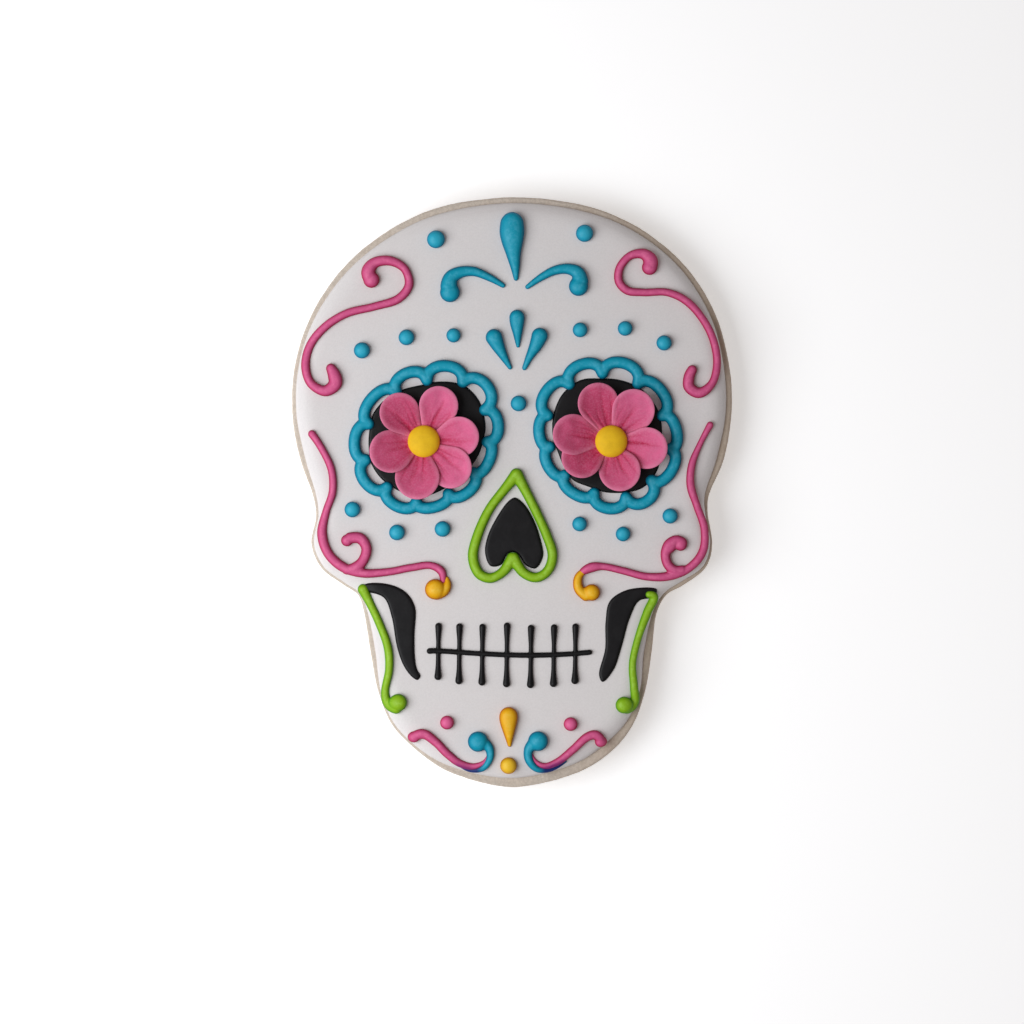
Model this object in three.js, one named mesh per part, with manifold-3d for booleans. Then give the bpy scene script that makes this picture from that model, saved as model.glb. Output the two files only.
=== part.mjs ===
// An iced sugar cookie: a rolled biscuit in the shape of a skull, flooded with white royal icing and decorated
// with black flooded panels, piped scrolls, drops, dots and scalloped rings, and two sugar-paste flowers.
// It lies flat with the iced side up. Millimetres, +Z up, +Y towards the crown of the skull, -X is "left".
// The origin is the middle of the outline's bounding box, on the surface that the cookie rests on.
import * as THREE from "three";
import { mergeVertices } from "three/addons/utils/BufferGeometryUtils.js";
import Module from "manifold-3d";

const wasm = await Module();
wasm.setup();

// ---------------------------------------------------------------- driving dimensions

const BISCUIT_THICKNESS = 7;
const ICING_THICKNESS = 2.2;
const SHOULDER_WIDTH = 4.8; // the white icing curves down to its edge over this width
const SHOULDER_ROUNDNESS = 3;
const SHOULDER_STEEPNESS = 1.8;
const PANEL_THICKNESS = 0.5; // black flooded panels stand this high above the white icing
const PANEL_EDGE = 0.35; // width of a panel's rounded edge
const PIPING_LIFT = 0.45; // a piped bead's middle stands this share of its height above the icing
const THIN_BEAD = 0.9; // beads up to this radius are round, wider ones are flatter domes
const WIDE_BEAD_RISE = 0.45; // how fast the height of a wider bead grows with its radius
const PETAL_THICKNESS = 0.85;
const PETAL_CUP = 2.7; // how far a petal's tip rises above its root
const PETAL_ROLL = 0.13; // slope across a petal, which lifts its anticlockwise side over the next petal
const PETAL_ROOT = 1.7; // distance of a petal's root from the flower's middle
const BUTTON_RADIUS = 3.2;
const BUTTON_HEIGHT = 1.9;
const BUTTON_SIDES = 10;
const FIT_GAP = 0.1; // clearance between separate pieces that lie on each other

const OUTLINE_STEPS = 2; // points for each knot of an outline
const WIDE_SECTION = [-45, 12, 60, 120, 168, 225]; // corners of a bead's section, in degrees
const THIN_SECTION = [-48, 22, 90, 158, 228];
const THIN_STROKE = 1.3; // a stroke with a greater radius has the wide section
const BLOB_SIDES = 8;
const BLOB_LATITUDES = [-30, 12, 52]; // rows of corners of a round blob below its top

// The skull's outline in rows from the crown to the chin: height, reach to the left, reach to the right, and
// the width of bare biscuit that shows outside the icing on each side.
const CROWN = [0.4, 59.15, 1.2];
const CHIN = [0.2, -59.15, 1.8];
const SKULL_ROWS = [
  [56.8, 15.6, 17.0, 1.3, 1.2],
  [52.0, 25.4, 27.0, 1.2, 1.1],
  [44.8, 34.0, 35.2, 1.1, 1.1],
  [35.2, 40.4, 41.0, 0.9, 1.1],
  [25.6, 43.5, 43.5, 0.8, 1.1],
  [16.0, 44.05, 44.05, 0.8, 1.2],
  [6.4, 42.4, 42.4, 1.0, 1.4],
  [-1.0, 39.8, 39.4, 0.6, 0.8],
  [-4.6, 39.3, 39.3, 0.5, 0.5],
  [-10.4, 40.2, 40.2, 0.5, 0.5],
  [-15.2, 38.2, 38.8, 0.5, 0.6],
  [-18.6, 33.8, 34.4, 0.5, 0.8],
  [-20.6, 30.9, 31.0, 0.5, 0.6],
  [-24.0, 29.7, 29.1, 0.7, 0.8],
  [-32.0, 28.4, 28.0, 1.0, 1.5],
  [-40.0, 26.8, 26.7, 0.5, 1.1],
  [-46.4, 24.2, 24.4, 0.5, 1.4],
  [-51.6, 19.4, 20.4, 0.6, 2.0],
  [-56.0, 12.8, 13.8, 1.1, 1.9],
];

// The biscuit's side and the icing's edge: distance in from the outline, and height.
const BISCUIT_SIDE = [
  [0.6, 0],
  [0, 1.1],
  [0.05, 6.1],
  [0.5, BISCUIT_THICKNESS],
];
const ICING_INSETS = [0, 0.3, 1.2, 2.8, SHOULDER_WIDTH];

// Dots of icing: middle and radius.
const DOTS = [
  [-15.2, 50.5, 1.8],
  [14.5, 51.7, 1.75],
  [-30.0, 28.3, 1.65],
  [-21.1, 30.9, 1.6],
  [-11.7, 31.3, 1.45],
  [13.6, 32.4, 1.5],
  [22.6, 32.7, 1.5],
  [30.4, 29.8, 1.55],
  [1.3, 17.7, 1.6],
  [-31.9, -3.5, 1.6],
  [-23.0, -8.1, 1.6],
  [-13.9, -7.4, 1.6],
  [13.5, -6.4, 1.5],
  [22.2, -8.4, 1.5],
  [31.6, -4.8, 1.55],
  [-13.0, -46.1, 1.4],
  [11.7, -46.4, 1.4],
  [-0.7, -54.7, 1.7],
];

// Piped strokes. A stroke's knots are [x, y, bead radius], and its bulb, if any, is the round blob that it
// starts or ends in.
const BROW_SCROLL_LEFT = {
  bulb: [-28.1, 42.4, 1.62],
  knots: [
    [-28.4, 42.7, 1.4],
    [-28.7, 44.2, 1.42],
    [-27.5, 45.8, 1.12],
    [-24.4, 46.2, 0.98],
    [-21.5, 44.6, 0.85],
    [-20.6, 41.4, 0.9],
    [-22.6, 38.7, 0.9],
    [-27.4, 37.1, 0.82],
    [-33.0, 35.7, 0.84],
    [-37.4, 33.0, 0.85],
    [-40.4, 29.3, 0.86],
    [-41.3, 25.2, 0.9],
    [-40.2, 21.7, 0.9],
    [-37.3, 20.2, 1.1],
    [-35.3, 21.7, 1.38],
    [-35.5, 23.2, 1.34],
    [-36.2, 24.7, 1.0],
  ],
};
const BROW_SCROLL_RIGHT = {
  bulb: [27.5, 44.9, 1.55],
  knots: [
    [27.6, 45.2, 1.5],
    [27.6, 46.4, 1.5],
    [26.2, 47.6, 1.1],
    [23.6, 47.2, 0.84],
    [21.5, 44.7, 0.85],
    [21.4, 42.0, 0.86],
    [23.0, 40.3, 0.85],
    [26.2, 39.9, 0.8],
    [31.0, 39.9, 0.78],
    [34.8, 38.2, 0.8],
    [38.0, 34.8, 0.8],
    [40.3, 30.3, 0.8],
    [41.0, 25.4, 0.82],
    [39.9, 21.6, 0.84],
    [37.4, 19.8, 1.08],
    [35.4, 21.0, 1.15],
    [35.4, 23.0, 1.12],
    [36.0, 24.4, 1.0],
  ],
};
const CHEEK_SCROLL_LEFT = {
  knots: [
    [-40.0, 11.6, 0.8],
    [-37.9, 8.4, 0.74],
    [-36.1, 4.4, 0.78],
    [-35.9, 0.0, 0.8],
    [-37.2, -4.0, 0.8],
    [-38.0, -8.4, 1.0],
    [-36.8, -12.2, 0.98],
    [-34.0, -14.9, 1.0],
    [-30.0, -16.2, 0.92],
    [-25.0, -16.0, 0.8],
    [-20.0, -15.1, 0.78],
    [-16.2, -14.7, 0.76],
    [-14.1, -15.9, 0.84],
    [-13.8, -17.8, 0.62],
  ],
};
const CHEEK_CURL_LEFT = {
  bulb: [-33.0, -9.7, 1.2],
  knots: [
    [-32.4, -9.2, 1.12],
    [-30.3, -9.3, 1.12],
    [-29.1, -11.3, 1.04],
    [-29.9, -13.9, 1.05],
    [-31.3, -15.1, 1.1],
    [-33.0, -15.6, 0.95],
  ],
};
const CHEEK_SCROLL_RIGHT = {
  knots: [
    [39.6, 13.4, 0.7],
    [37.6, 9.6, 0.6],
    [36.0, 5.6, 0.76],
    [35.7, 1.4, 0.84],
    [37.0, -2.8, 0.78],
    [38.5, -7.4, 0.82],
    [38.1, -12.0, 0.86],
    [35.4, -15.2, 0.86],
    [31.4, -16.8, 0.92],
    [26.8, -16.9, 0.8],
    [22.4, -15.8, 0.76],
    [18.2, -14.9, 0.76],
    [15.8, -15.1, 1.0],
    [14.2, -15.9, 0.75],
  ],
};
const CHEEK_CURL_RIGHT = {
  bulb: [33.7, -10.5, 1.3],
  knots: [
    [33.8, -10.2, 1.25],
    [32.8, -9.8, 1.2],
    [31.6, -10.7, 1.4],
    [30.7, -12.3, 1.02],
    [31.1, -14.4, 0.98],
    [32.4, -15.6, 1.0],
    [34.0, -15.6, 0.95],
  ],
};
const CHEEK_HOOK_LEFT = {
  bulb: [-15.35, -19.45, 2.08],
  knots: [
    [-15.0, -20.2, 1.35],
    [-13.6, -19.7, 1.12],
    [-12.95, -18.5, 0.85],
    [-13.1, -17.3, 0.5],
  ],
};
const CHEEK_HOOK_RIGHT = {
  bulb: [15.9, -20.1, 1.7],
  knots: [
    [14.6, -15.7, 0.6],
    [13.3, -17.0, 0.85],
    [13.3, -19.2, 1.0],
    [14.8, -20.7, 1.15],
  ],
};
const CROWN_DROP = {
  knots: [
    [0.0, 53.5, 2.4],
    [0.0, 51.8, 2.5],
    [0.1, 49.9, 2.15],
    [0.3, 47.6, 1.52],
    [0.6, 45.2, 1.02],
    [0.8, 42.7, 0.5],
  ],
};
const CROWN_CURL_LEFT = {
  bulb: [-12.4, 39.9, 2.0],
  knots: [
    [-12.6, 41.1, 1.75],
    [-12.2, 42.8, 1.5],
    [-10.4, 43.9, 1.2],
    [-7.8, 44.1, 0.98],
    [-4.8, 43.0, 0.78],
    [-1.8, 41.3, 0.5],
  ],
};
const CROWN_CURL_RIGHT = {
  bulb: [13.3, 41.1, 1.95],
  knots: [
    [13.6, 42.1, 1.7],
    [13.1, 43.8, 1.4],
    [11.2, 44.6, 1.1],
    [8.6, 44.3, 0.94],
    [5.8, 42.9, 0.74],
    [3.1, 41.0, 0.5],
  ],
};
const FOREHEAD_DROP_LEFT = {
  knots: [
    [-3.6, 30.9, 1.7],
    [-2.7, 29.0, 1.3],
    [-1.6, 27.0, 0.86],
    [-0.4, 24.9, 0.46],
  ],
};
const FOREHEAD_DROP_MIDDLE = {
  knots: [
    [1.0, 34.9, 1.56],
    [1.0, 33.8, 1.45],
    [1.1, 31.8, 0.98],
    [1.2, 29.2, 0.38],
  ],
};
const FOREHEAD_DROP_RIGHT = {
  knots: [
    [5.5, 31.2, 1.65],
    [4.8, 29.4, 1.35],
    [3.6, 27.2, 0.86],
    [2.5, 24.8, 0.5],
  ],
};
const CHIN_DROP = {
  knots: [
    [-0.7, -44.8, 1.85],
    [-0.7, -45.9, 1.78],
    [-0.6, -48.1, 1.16],
    [-0.5, -50.6, 0.42],
  ],
};
const CHIN_SCROLL_LEFT = {
  bulb: [-19.6, -49.0, 1.15],
  knots: [
    [-19.2, -48.7, 1.0],
    [-17.6, -48.4, 1.0],
    [-15.4, -49.9, 0.9],
    [-12.8, -52.5, 0.84],
    [-10.4, -54.3, 0.78],
    [-7.8, -54.9, 0.66],
    [-5.7, -54.1, 0.45],
    [-4.9, -52.9, 0.28],
  ],
};
const CHIN_SCROLL_RIGHT = {
  bulb: [17.7, -49.9, 1.15],
  knots: [
    [17.6, -49.4, 1.0],
    [16.7, -48.6, 0.98],
    [15.0, -49.0, 0.9],
    [12.2, -51.5, 0.82],
    [9.2, -53.9, 0.76],
    [6.6, -54.8, 0.62],
    [4.7, -53.9, 0.44],
    [4.0, -52.5, 0.28],
  ],
};
const CHIN_CURL_LEFT = {
  bulb: [-6.8, -49.9, 2.05],
  knots: [
    [-6.0, -50.1, 1.35],
    [-4.6, -51.2, 0.95],
    [-4.4, -53.2, 0.74],
    [-5.8, -55.2, 0.66],
    [-8.2, -55.65, 0.5],
    [-10.5, -54.75, 0.3],
  ],
};
const CHIN_CURL_RIGHT = {
  bulb: [5.2, -49.8, 2.0],
  knots: [
    [4.4, -50.2, 1.35],
    [3.3, -51.6, 0.98],
    [3.4, -53.6, 0.84],
    [5.0, -55.4, 0.7],
    [7.8, -55.45, 0.54],
    [10.8, -53.9, 0.25],
  ],
};
const JAW_LINE_LEFT = {
  bulb: [-22.75, -42.1, 1.76],
  knots: [
    [-29.8, -19.5, 1.1],
    [-28.4, -22.3, 0.86],
    [-26.4, -26.6, 0.84],
    [-24.8, -31.2, 0.86],
    [-24.6, -35.6, 0.84],
    [-25.4, -39.8, 0.84],
    [-25.15, -41.6, 0.98],
    [-24.4, -42.7, 1.1],
    [-23.2, -43.2, 1.2],
  ],
};
const JAW_LINE_RIGHT = {
  bulb: [22.4, -42.6, 1.7],
  knots: [
    [27.4, -20.5, 0.75],
    [28.4, -20.9, 0.9],
    [27.1, -24.0, 0.9],
    [25.2, -29.3, 0.76],
    [24.1, -34.4, 0.76],
    [24.4, -38.8, 0.84],
    [24.6, -41.5, 0.96],
    [24.0, -42.7, 1.1],
    [23.0, -43.2, 1.2],
  ],
};
const NOSE_STROKE_RIGHT = {
  knots: [
    [0.9, 3.4, 1.35],
    [2.3, 1.0, 1.05],
    [4.6, -3.5, 0.96],
    [6.9, -8.6, 0.97],
    [8.1, -12.8, 1.0],
    [7.0, -15.9, 1.0],
    [4.8, -17.1, 1.0],
    [2.4, -16.2, 1.0],
    [0.3, -13.2, 1.2],
  ],
};
const NOSE_STROKE_LEFT = {
  knots: [
    [0.9, 3.4, 1.35],
    [-1.2, 0.9, 1.02],
    [-4.6, -3.6, 0.95],
    [-7.0, -9.0, 1.0],
    [-7.8, -13.1, 1.04],
    [-6.6, -16.3, 1.04],
    [-4.4, -17.2, 1.02],
    [-2.0, -16.1, 1.0],
    [0.1, -13.2, 1.2],
  ],
};
const MOUTH_LINE = {
  knots: [
    [-16.5, -31.8, 0.6],
    [-13.6, -31.85, 0.55],
    [-6.0, -32.35, 0.52],
    [3.0, -32.65, 0.54],
    [10.6, -32.45, 0.52],
    [15.5, -32.05, 0.54],
  ],
};

// The mouth's upright stitches: x, top, bottom.
const STITCHES = [
  [-14.7, -26.8, -36.9],
  [-10.5, -26.9, -37.75],
  [-5.9, -27.0, -38.0],
  [-1.0, -26.75, -38.35],
  [3.8, -27.2, -38.5],
  [8.4, -27.1, -38.3],
  [12.7, -26.95, -37.7],
];
const STITCH_LEAN = -0.12; // a stitch's foot stands this far to the side of its top
const STITCH_TOP = 0.66;
const STITCH_WAIST = 0.46;
const STITCH_FOOT = 0.74;

// Black panels' outlines, [x, y].
const NOSE_HOLLOW = [
  [0.6, -1.1],
  [2.5, -2.5],
  [4.5, -5.9],
  [5.8, -9.8],
  [6.2, -12.9],
  [4.7, -15.3],
  [2.7, -14.6],
  [1.4, -12.7],
  [0.3, -12.0],
  [-0.8, -12.4],
  [-2.2, -14.6],
  [-4.3, -14.8],
  [-5.4, -12.2],
  [-4.9, -8.9],
  [-2.9, -4.8],
  [-0.7, -1.8],
];
const CHEEK_HOLLOW_LEFT = [
  [-29.7, -18.6],
  [-25.4, -18.3],
  [-21.4, -19.9],
  [-19.4, -23.0],
  [-19.5, -28.6],
  [-19.4, -33.2],
  [-19.0, -35.4],
  [-18.3, -36.8],
  [-18.9, -37.6],
  [-20.1, -36.9],
  [-21.7, -34.7],
  [-23.0, -31.0],
  [-24.1, -24.9],
  [-25.6, -21.2],
  [-28.6, -20.1],
  [-29.8, -20.1],
];
const CHEEK_HOLLOW_RIGHT = [
  [29.0, -19.5],
  [27.4, -19.1],
  [22.6, -19.7],
  [19.5, -21.9],
  [18.7, -26.0],
  [18.6, -31.4],
  [17.4, -36.6],
  [18.1, -38.0],
  [20.3, -35.6],
  [22.0, -30.7],
  [23.5, -25.4],
  [25.4, -21.8],
  [28.4, -21.0],
];

// Each eye: the outline of the black disc, the scalloped ring round it as [x, y, bulge] for each scallop, from
// its cusp clockwise, and the flower as [direction in degrees, reach, half width] for each petal.
const RING_BEAD = 1.2;
const SCALLOP_SECTIONS = 4;
const SCALLOP_ROUNDNESS = 0.8;
const EYES = {
  left: {
    disc: [
      [-5.3, 13.4],
      [-6.4, 17.9],
      [-8.8, 20.8],
      [-13.4, 22.1],
      [-17.8, 21.5],
      [-24.2, 19.3],
      [-27.9, 15.4],
      [-28.7, 9.4],
      [-26.0, 2.5],
      [-22.4, 0.1],
      [-16.4, -0.6],
      [-11.4, 2.0],
      [-7.0, 6.8],
    ],
    flower: [-17.6, 10.1],
    ring: [
      [-23.2, 20.0, 2.7], [-17.0, 22.4, 3.0], [-9.8, 22.0, 3.3], [-5.4, 16.4, 2.4],
      [-4.9, 10.0, 1.8], [-7.6, 3.8, 2.2], [-12.7, -0.4, 1.8], [-19.1, -2.1, 2.4],
      [-25.0, 0.9, 2.75], [-29.3, 6.4, 2.5], [-28.7, 13.6, 2.8],
    ],
    petals: [
      [130, 11.4, 4.0],
      [67, 11.6, 3.9],
      [7, 11.1, 4.05],
      [-44, 11.7, 4.2],
      [-100, 11.7, 4.45],
      [-163, 11.1, 4.3],
    ],
  },
  right: {
    disc: [
      [30.0, 12.4],
      [28.9, 17.0],
      [25.8, 20.7],
      [21.2, 22.5],
      [14.4, 22.6],
      [10.0, 19.5],
      [8.1, 14.4],
      [9.0, 8.4],
      [12.2, 2.4],
      [18.8, -0.1],
      [23.6, 0.0],
      [28.9, 4.0],
    ],
    flower: [19.8, 10.1],
    ring: [
      [11.4, 21.6, 2.9], [18.1, 23.8, 3.1], [25.2, 21.7, 2.8], [30.1, 15.3, 2.0],
      [31.7, 8.6, 2.4], [27.9, 2.3, 2.9], [22.8, -1.1, 2.6], [16.4, -0.3, 2.1],
      [10.5, 3.3, 2.0], [7.5, 9.0, 1.9], [7.1, 15.3, 2.9],
    ],
    petals: [
      [109, 12.1, 4.1],
      [54.5, 11.8, 4.25],
      [-11, 11.3, 4.15],
      [-74, 10.2, 4.15],
      [-151, 10.8, 4.1],
      [170, 11.8, 4.1],
    ],
  },
};

const COLOURS = {
  biscuit: [0xd8bd93, 0.85],
  white_icing: [0xece7e3, 0.5],
  black_icing: [0x232226, 0.45],
  turquoise_icing: [0x1fa3bf, 0.42],
  pink_icing: [0xcf4a89, 0.42],
  green_icing: [0x93c22b, 0.45],
  orange_icing: [0xeaa51d, 0.45],
  pink_sugar_paste: [0xd9618d, 0.65],
  yellow_sugar_paste: [0xe2b424, 0.6],
};

// ---------------------------------------------------------------- solids from rings of points

// The faces between each ring of points and the next, the rings right-handed about the way they run.
function facesBetween(rings, looped) {
  const count = rings[0].length;
  const pairs = looped ? rings.length : rings.length - 1;
  const faces = [];
  for (let row = 0; row < pairs; row++) {
    const next = (row + 1) % rings.length;
    for (let i = 0; i < count; i++) {
      const j = (i + 1) % count;
      const [a, b, c, d] = [row * count + i, row * count + j, next * count + j, next * count + i];
      faces.push([a, b, c], [a, c, d]);
    }
  }
  return faces;
}

// A closed geometry from a row of rings that ends where it starts.
const loopedLoft = (rings) => geometryFrom(rings.flat(), facesBetween(rings, true));

// A closed geometry from a row of rings with two ends. A pole closes an end with a fan, and an end without one
// is closed by its ring's own polygon.
function loft(rings, startPole, endPole) {
  const points = rings.flat();
  const faces = facesBetween(rings, false);
  const last = points.length - rings[0].length;
  closeEnd(points, faces, rings[0], 0, startPole, true);
  closeEnd(points, faces, rings.at(-1), last, endPole, false);
  return geometryFrom(points, faces);
}

function geometryFrom(points, faces) {
  const geometry = new THREE.BufferGeometry();
  const positions = points.flatMap((p) => [p.x, p.y, p.z]);
  geometry.setAttribute("position", new THREE.Float32BufferAttribute(positions, 3));
  geometry.setIndex(faces.flat());
  return geometry;
}

function closeEnd(points, faces, ring, first, pole, isStart) {
  const add = (a, b, c) => faces.push(isStart ? [a, c, b] : [a, b, c]);
  if (pole) {
    const tip = points.push(pole) - 1;
    ring.forEach((_, i) => add(first + i, first + ((i + 1) % ring.length), tip));
    return;
  }
  const contour = ring.map((p) => new THREE.Vector2(p.x, p.y));
  for (const [a, b, c] of THREE.ShapeUtils.triangulateShape(contour, [])) {
    add(first + a, first + b, first + c);
  }
}

function solidOf(geometry) {
  const bare = geometry.clone();
  bare.deleteAttribute("normal");
  bare.deleteAttribute("uv");
  const merged = mergeVertices(bare);
  return new wasm.Manifold(
    new wasm.Mesh({
      numProp: 3,
      vertProperties: new Float32Array(merged.attributes.position.array),
      triVerts: new Uint32Array(merged.index.array),
    }),
  );
}

function geometryOf(solid) {
  const mesh = solid.getMesh();
  const geometry = new THREE.BufferGeometry();
  geometry.setAttribute("position", new THREE.BufferAttribute(mesh.vertProperties, 3));
  geometry.setIndex(new THREE.BufferAttribute(mesh.triVerts, 1));
  const faceted = geometry.toNonIndexed();
  faceted.computeVertexNormals();
  return faceted;
}

const joined = (solids) => solids.reduce((whole, solid) => whole.add(solid));

// The largest body of a solid that a cut has left in several.
function mainBody(solid) {
  return solid.decompose().reduce((a, b) => (b.volume() > a.volume() ? b : a));
}

// ---------------------------------------------------------------- outlines

// Points of a smooth closed curve through knots, the third number of each knot carried along in z.
function closedCurve(knots, stepsPerKnot) {
  const curve = new THREE.CatmullRomCurve3(
    knots.map(([x, y, z = 0]) => new THREE.Vector3(x, y, z)),
    true,
    "centripetal",
  );
  return curve.getPoints(knots.length * stepsPerKnot).slice(0, -1);
}

// The points of an anticlockwise outline moved inwards, each by the distance that inset gives for it.
function insetOutline(outline, inset) {
  return outline.map((point, i) => {
    const before = outline.at(i - 1);
    const after = outline[(i + 1) % outline.length];
    const along = new THREE.Vector2(after.x - before.x, after.y - before.y).normalize();
    const distance = inset(point);
    return new THREE.Vector3(point.x - along.y * distance, point.y + along.x * distance, point.z);
  });
}

function circle([x, y, radius], corners) {
  return Array.from({ length: corners }, (_, i) => {
    const angle = (2 * Math.PI * i) / corners;
    return new THREE.Vector3(x + radius * Math.cos(angle), y + radius * Math.sin(angle), 0);
  });
}

const atHeight = (outline, z) => outline.map((p) => new THREE.Vector3(p.x, p.y, z));

const skullKnots = [
  CROWN,
  ...SKULL_ROWS.map(([y, left, , rim]) => [-left, y, rim]),
  CHIN,
  ...SKULL_ROWS.map(([y, , right, , rim]) => [right, y, rim]).reverse(),
];
const biscuitOutline = closedCurve(skullKnots, OUTLINE_STEPS);
const icingOutline = insetOutline(biscuitOutline, (point) => point.z);
const flatIcingOutline = atHeight(icingOutline, 0);

// ---------------------------------------------------------------- the white icing's top

// How far the icing stands above the biscuit, at a distance in from its edge.
function icingRise(distance) {
  const outward = 1 - Math.min(distance, SHOULDER_WIDTH) / SHOULDER_WIDTH;
  return ICING_THICKNESS * (1 - outward ** SHOULDER_ROUNDNESS) ** (1 / SHOULDER_STEEPNESS);
}

function distanceToEdge(x, y) {
  const edge = new THREE.Line3();
  const nearest = new THREE.Vector3();
  const point = new THREE.Vector3(x, y, 0);
  return Math.min(
    ...flatIcingOutline.map((start, i) => {
      const end = flatIcingOutline[(i + 1) % flatIcingOutline.length];
      edge.set(start, end).closestPointToPoint(point, true, nearest);
      return nearest.distanceTo(point);
    }),
  );
}

const icingTop = (x, y) => BISCUIT_THICKNESS + icingRise(distanceToEdge(x, y));

// ---------------------------------------------------------------- piped beads

const beadHeight = (radius) =>
  Math.min(radius, THIN_BEAD) + Math.max(0, radius - THIN_BEAD) * WIDE_BEAD_RISE;

// One upright section of a bead, across the direction in which it runs.
function beadSection(x, y, along, radius, z, height, section) {
  return section.map((degrees) => {
    const angle = THREE.MathUtils.degToRad(degrees);
    const across = radius * Math.cos(angle);
    return new THREE.Vector3(x - along.y * across, y + along.x * across, z + height * Math.sin(angle));
  });
}

// The sections of a bead along points whose z holds the radius, resting in the icing below it.
function beadSections(path, looped, grow) {
  const last = path.length - 1;
  return path.map((point, i) => {
    const before = looped ? path.at(i - 1) : path[Math.max(i - 1, 0)];
    const after = looped ? path[(i + 1) % path.length] : path[Math.min(i + 1, last)];
    const along = new THREE.Vector2(after.x - before.x, after.y - before.y).normalize();
    const height = beadHeight(point.z) + grow;
    const z = icingTop(point.x, point.y) + PIPING_LIFT * beadHeight(point.z);
    return { x: point.x, y: point.y, along, radius: point.z + grow, z, height };
  });
}

// A bead with two round ends.
function bead(path, section, grow = 0) {
  const sections = beadSections(path, false, grow);
  const ringAt = (s, share, size) =>
    beadSection(
      s.x + s.along.x * s.radius * share,
      s.y + s.along.y * s.radius * share,
      s.along,
      s.radius * size,
      s.z,
      s.height * size,
      section,
    );
  const poleAt = (s, share) =>
    new THREE.Vector3(s.x + s.along.x * s.radius * share, s.y + s.along.y * s.radius * share, s.z);
  const half = Math.SQRT1_2;
  const [start, end] = [sections[0], sections.at(-1)];
  const rings = [ringAt(start, -half, half), ...sections.map((s) => ringAt(s, 0, 1)), ringAt(end, half, half)];
  return solidOf(loft(rings, poleAt(start, -1), poleAt(end, 1)));
}

// A round blob of icing.
function blob([x, y, radius], grow = 0) {
  const height = beadHeight(radius);
  const middle = icingTop(x, y) + PIPING_LIFT * height;
  const rowAt = (latitude) => middle + (height + grow) * Math.sin(THREE.MathUtils.degToRad(latitude));
  const rings = BLOB_LATITUDES.map((latitude) => {
    const size = (radius + grow) * Math.cos(THREE.MathUtils.degToRad(latitude));
    return atHeight(circle([x, y, size], BLOB_SIDES), rowAt(latitude));
  });
  const foot = new THREE.Vector3(x, y, rowAt(BLOB_LATITUDES[0]));
  return solidOf(loft(rings, foot, new THREE.Vector3(x, y, rowAt(90))));
}

function stroke({ knots, bulb }, grow = 0) {
  const path = knots.map((knot) => new THREE.Vector3(...knot));
  const widest = Math.max(...knots.map(([, , radius]) => radius));
  const line = bead(path, widest > THIN_STROKE ? WIDE_SECTION : THIN_SECTION, grow);
  return bulb ? line.add(blob(bulb, grow)) : line;
}

// Knots of one scallop: a round arc from its cusp towards the following one.
function scallopKnots([x, y, bulge], [nextX, nextY]) {
  const chord = new THREE.Vector3(nextX - x, nextY - y, 0);
  const outward = new THREE.Vector3(-chord.y, chord.x, 0).normalize();
  return Array.from({ length: SCALLOP_SECTIONS }, (_, step) => {
    const turn = (Math.PI * step) / SCALLOP_SECTIONS;
    const place = new THREE.Vector3(x, y, RING_BEAD);
    place.addScaledVector(chord, (1 - Math.cos(turn)) / 2);
    return place.addScaledVector(outward, bulge * Math.sin(turn) ** SCALLOP_ROUNDNESS);
  });
}

// An eye's ring, one bead in scallops.
function scallopedRing(cusps) {
  const path = cusps.flatMap((cusp, i) => scallopKnots(cusp, cusps[(i + 1) % cusps.length]));
  const sections = beadSections(path, true, 0);
  return solidOf(
    loopedLoft(sections.map((s) => beadSection(s.x, s.y, s.along, s.radius, s.z, s.height, THIN_SECTION))),
  );
}

function mouthStitches() {
  const uprights = STITCHES.map(([x, top, bottom]) => {
    const at = (share, radius) =>
      new THREE.Vector3(x + STITCH_LEAN * share, top + (bottom - top) * share, radius);
    const path = [at(0, STITCH_TOP), at(0.5, STITCH_WAIST), at(1, STITCH_FOOT)];
    return bead(path, THIN_SECTION);
  });
  return joined([stroke(MOUTH_LINE), ...uprights]);
}

// ---------------------------------------------------------------- flooded panels

// A thin panel with a rounded edge, draped on the white icing, from an anticlockwise outline.
function panel(outline, grow = 0) {
  const edge = [
    [0, -PANEL_THICKNESS],
    [0, PANEL_THICKNESS * 0.4],
    [PANEL_EDGE, PANEL_THICKNESS],
  ];
  const rings = edge.map(([inset, height]) =>
    insetOutline(outline, () => inset - grow).map(
      (p) => new THREE.Vector3(p.x, p.y, icingTop(p.x, p.y) + height + (height > 0 ? grow : 0)),
    ),
  );
  return solidOf(loft(rings));
}

function panelOutline(knots) {
  const outline = closedCurve(knots, OUTLINE_STEPS);
  return THREE.ShapeUtils.isClockWise(outline) ? outline.reverse() : outline;
}

// ---------------------------------------------------------------- flowers

const FLOWER_FLOOR = BISCUIT_THICKNESS + ICING_THICKNESS + PANEL_THICKNESS + FIT_GAP;
const PETAL_ROWS = [0, 0.2, 0.45, 0.7, 0.9]; // shares of the petal's length from its root
const PETAL_COLUMNS = [1, 0.75, 0, -0.75, -1]; // shares of its half width, across the top

// Half the width of a petal at a share of its length: narrow at the root, fullest beyond the middle.
function petalHalfWidth(share, halfWidth) {
  const rootWidth = 0.34;
  const swell = rootWidth + (1 - rootWidth) * Math.sin((Math.PI / 2) * Math.min(share / 0.66, 1));
  const round = Math.sqrt(Math.max(0, 1 - Math.max(0, (share - 0.5) / 0.5) ** 2.4));
  return halfWidth * swell * round;
}

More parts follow.
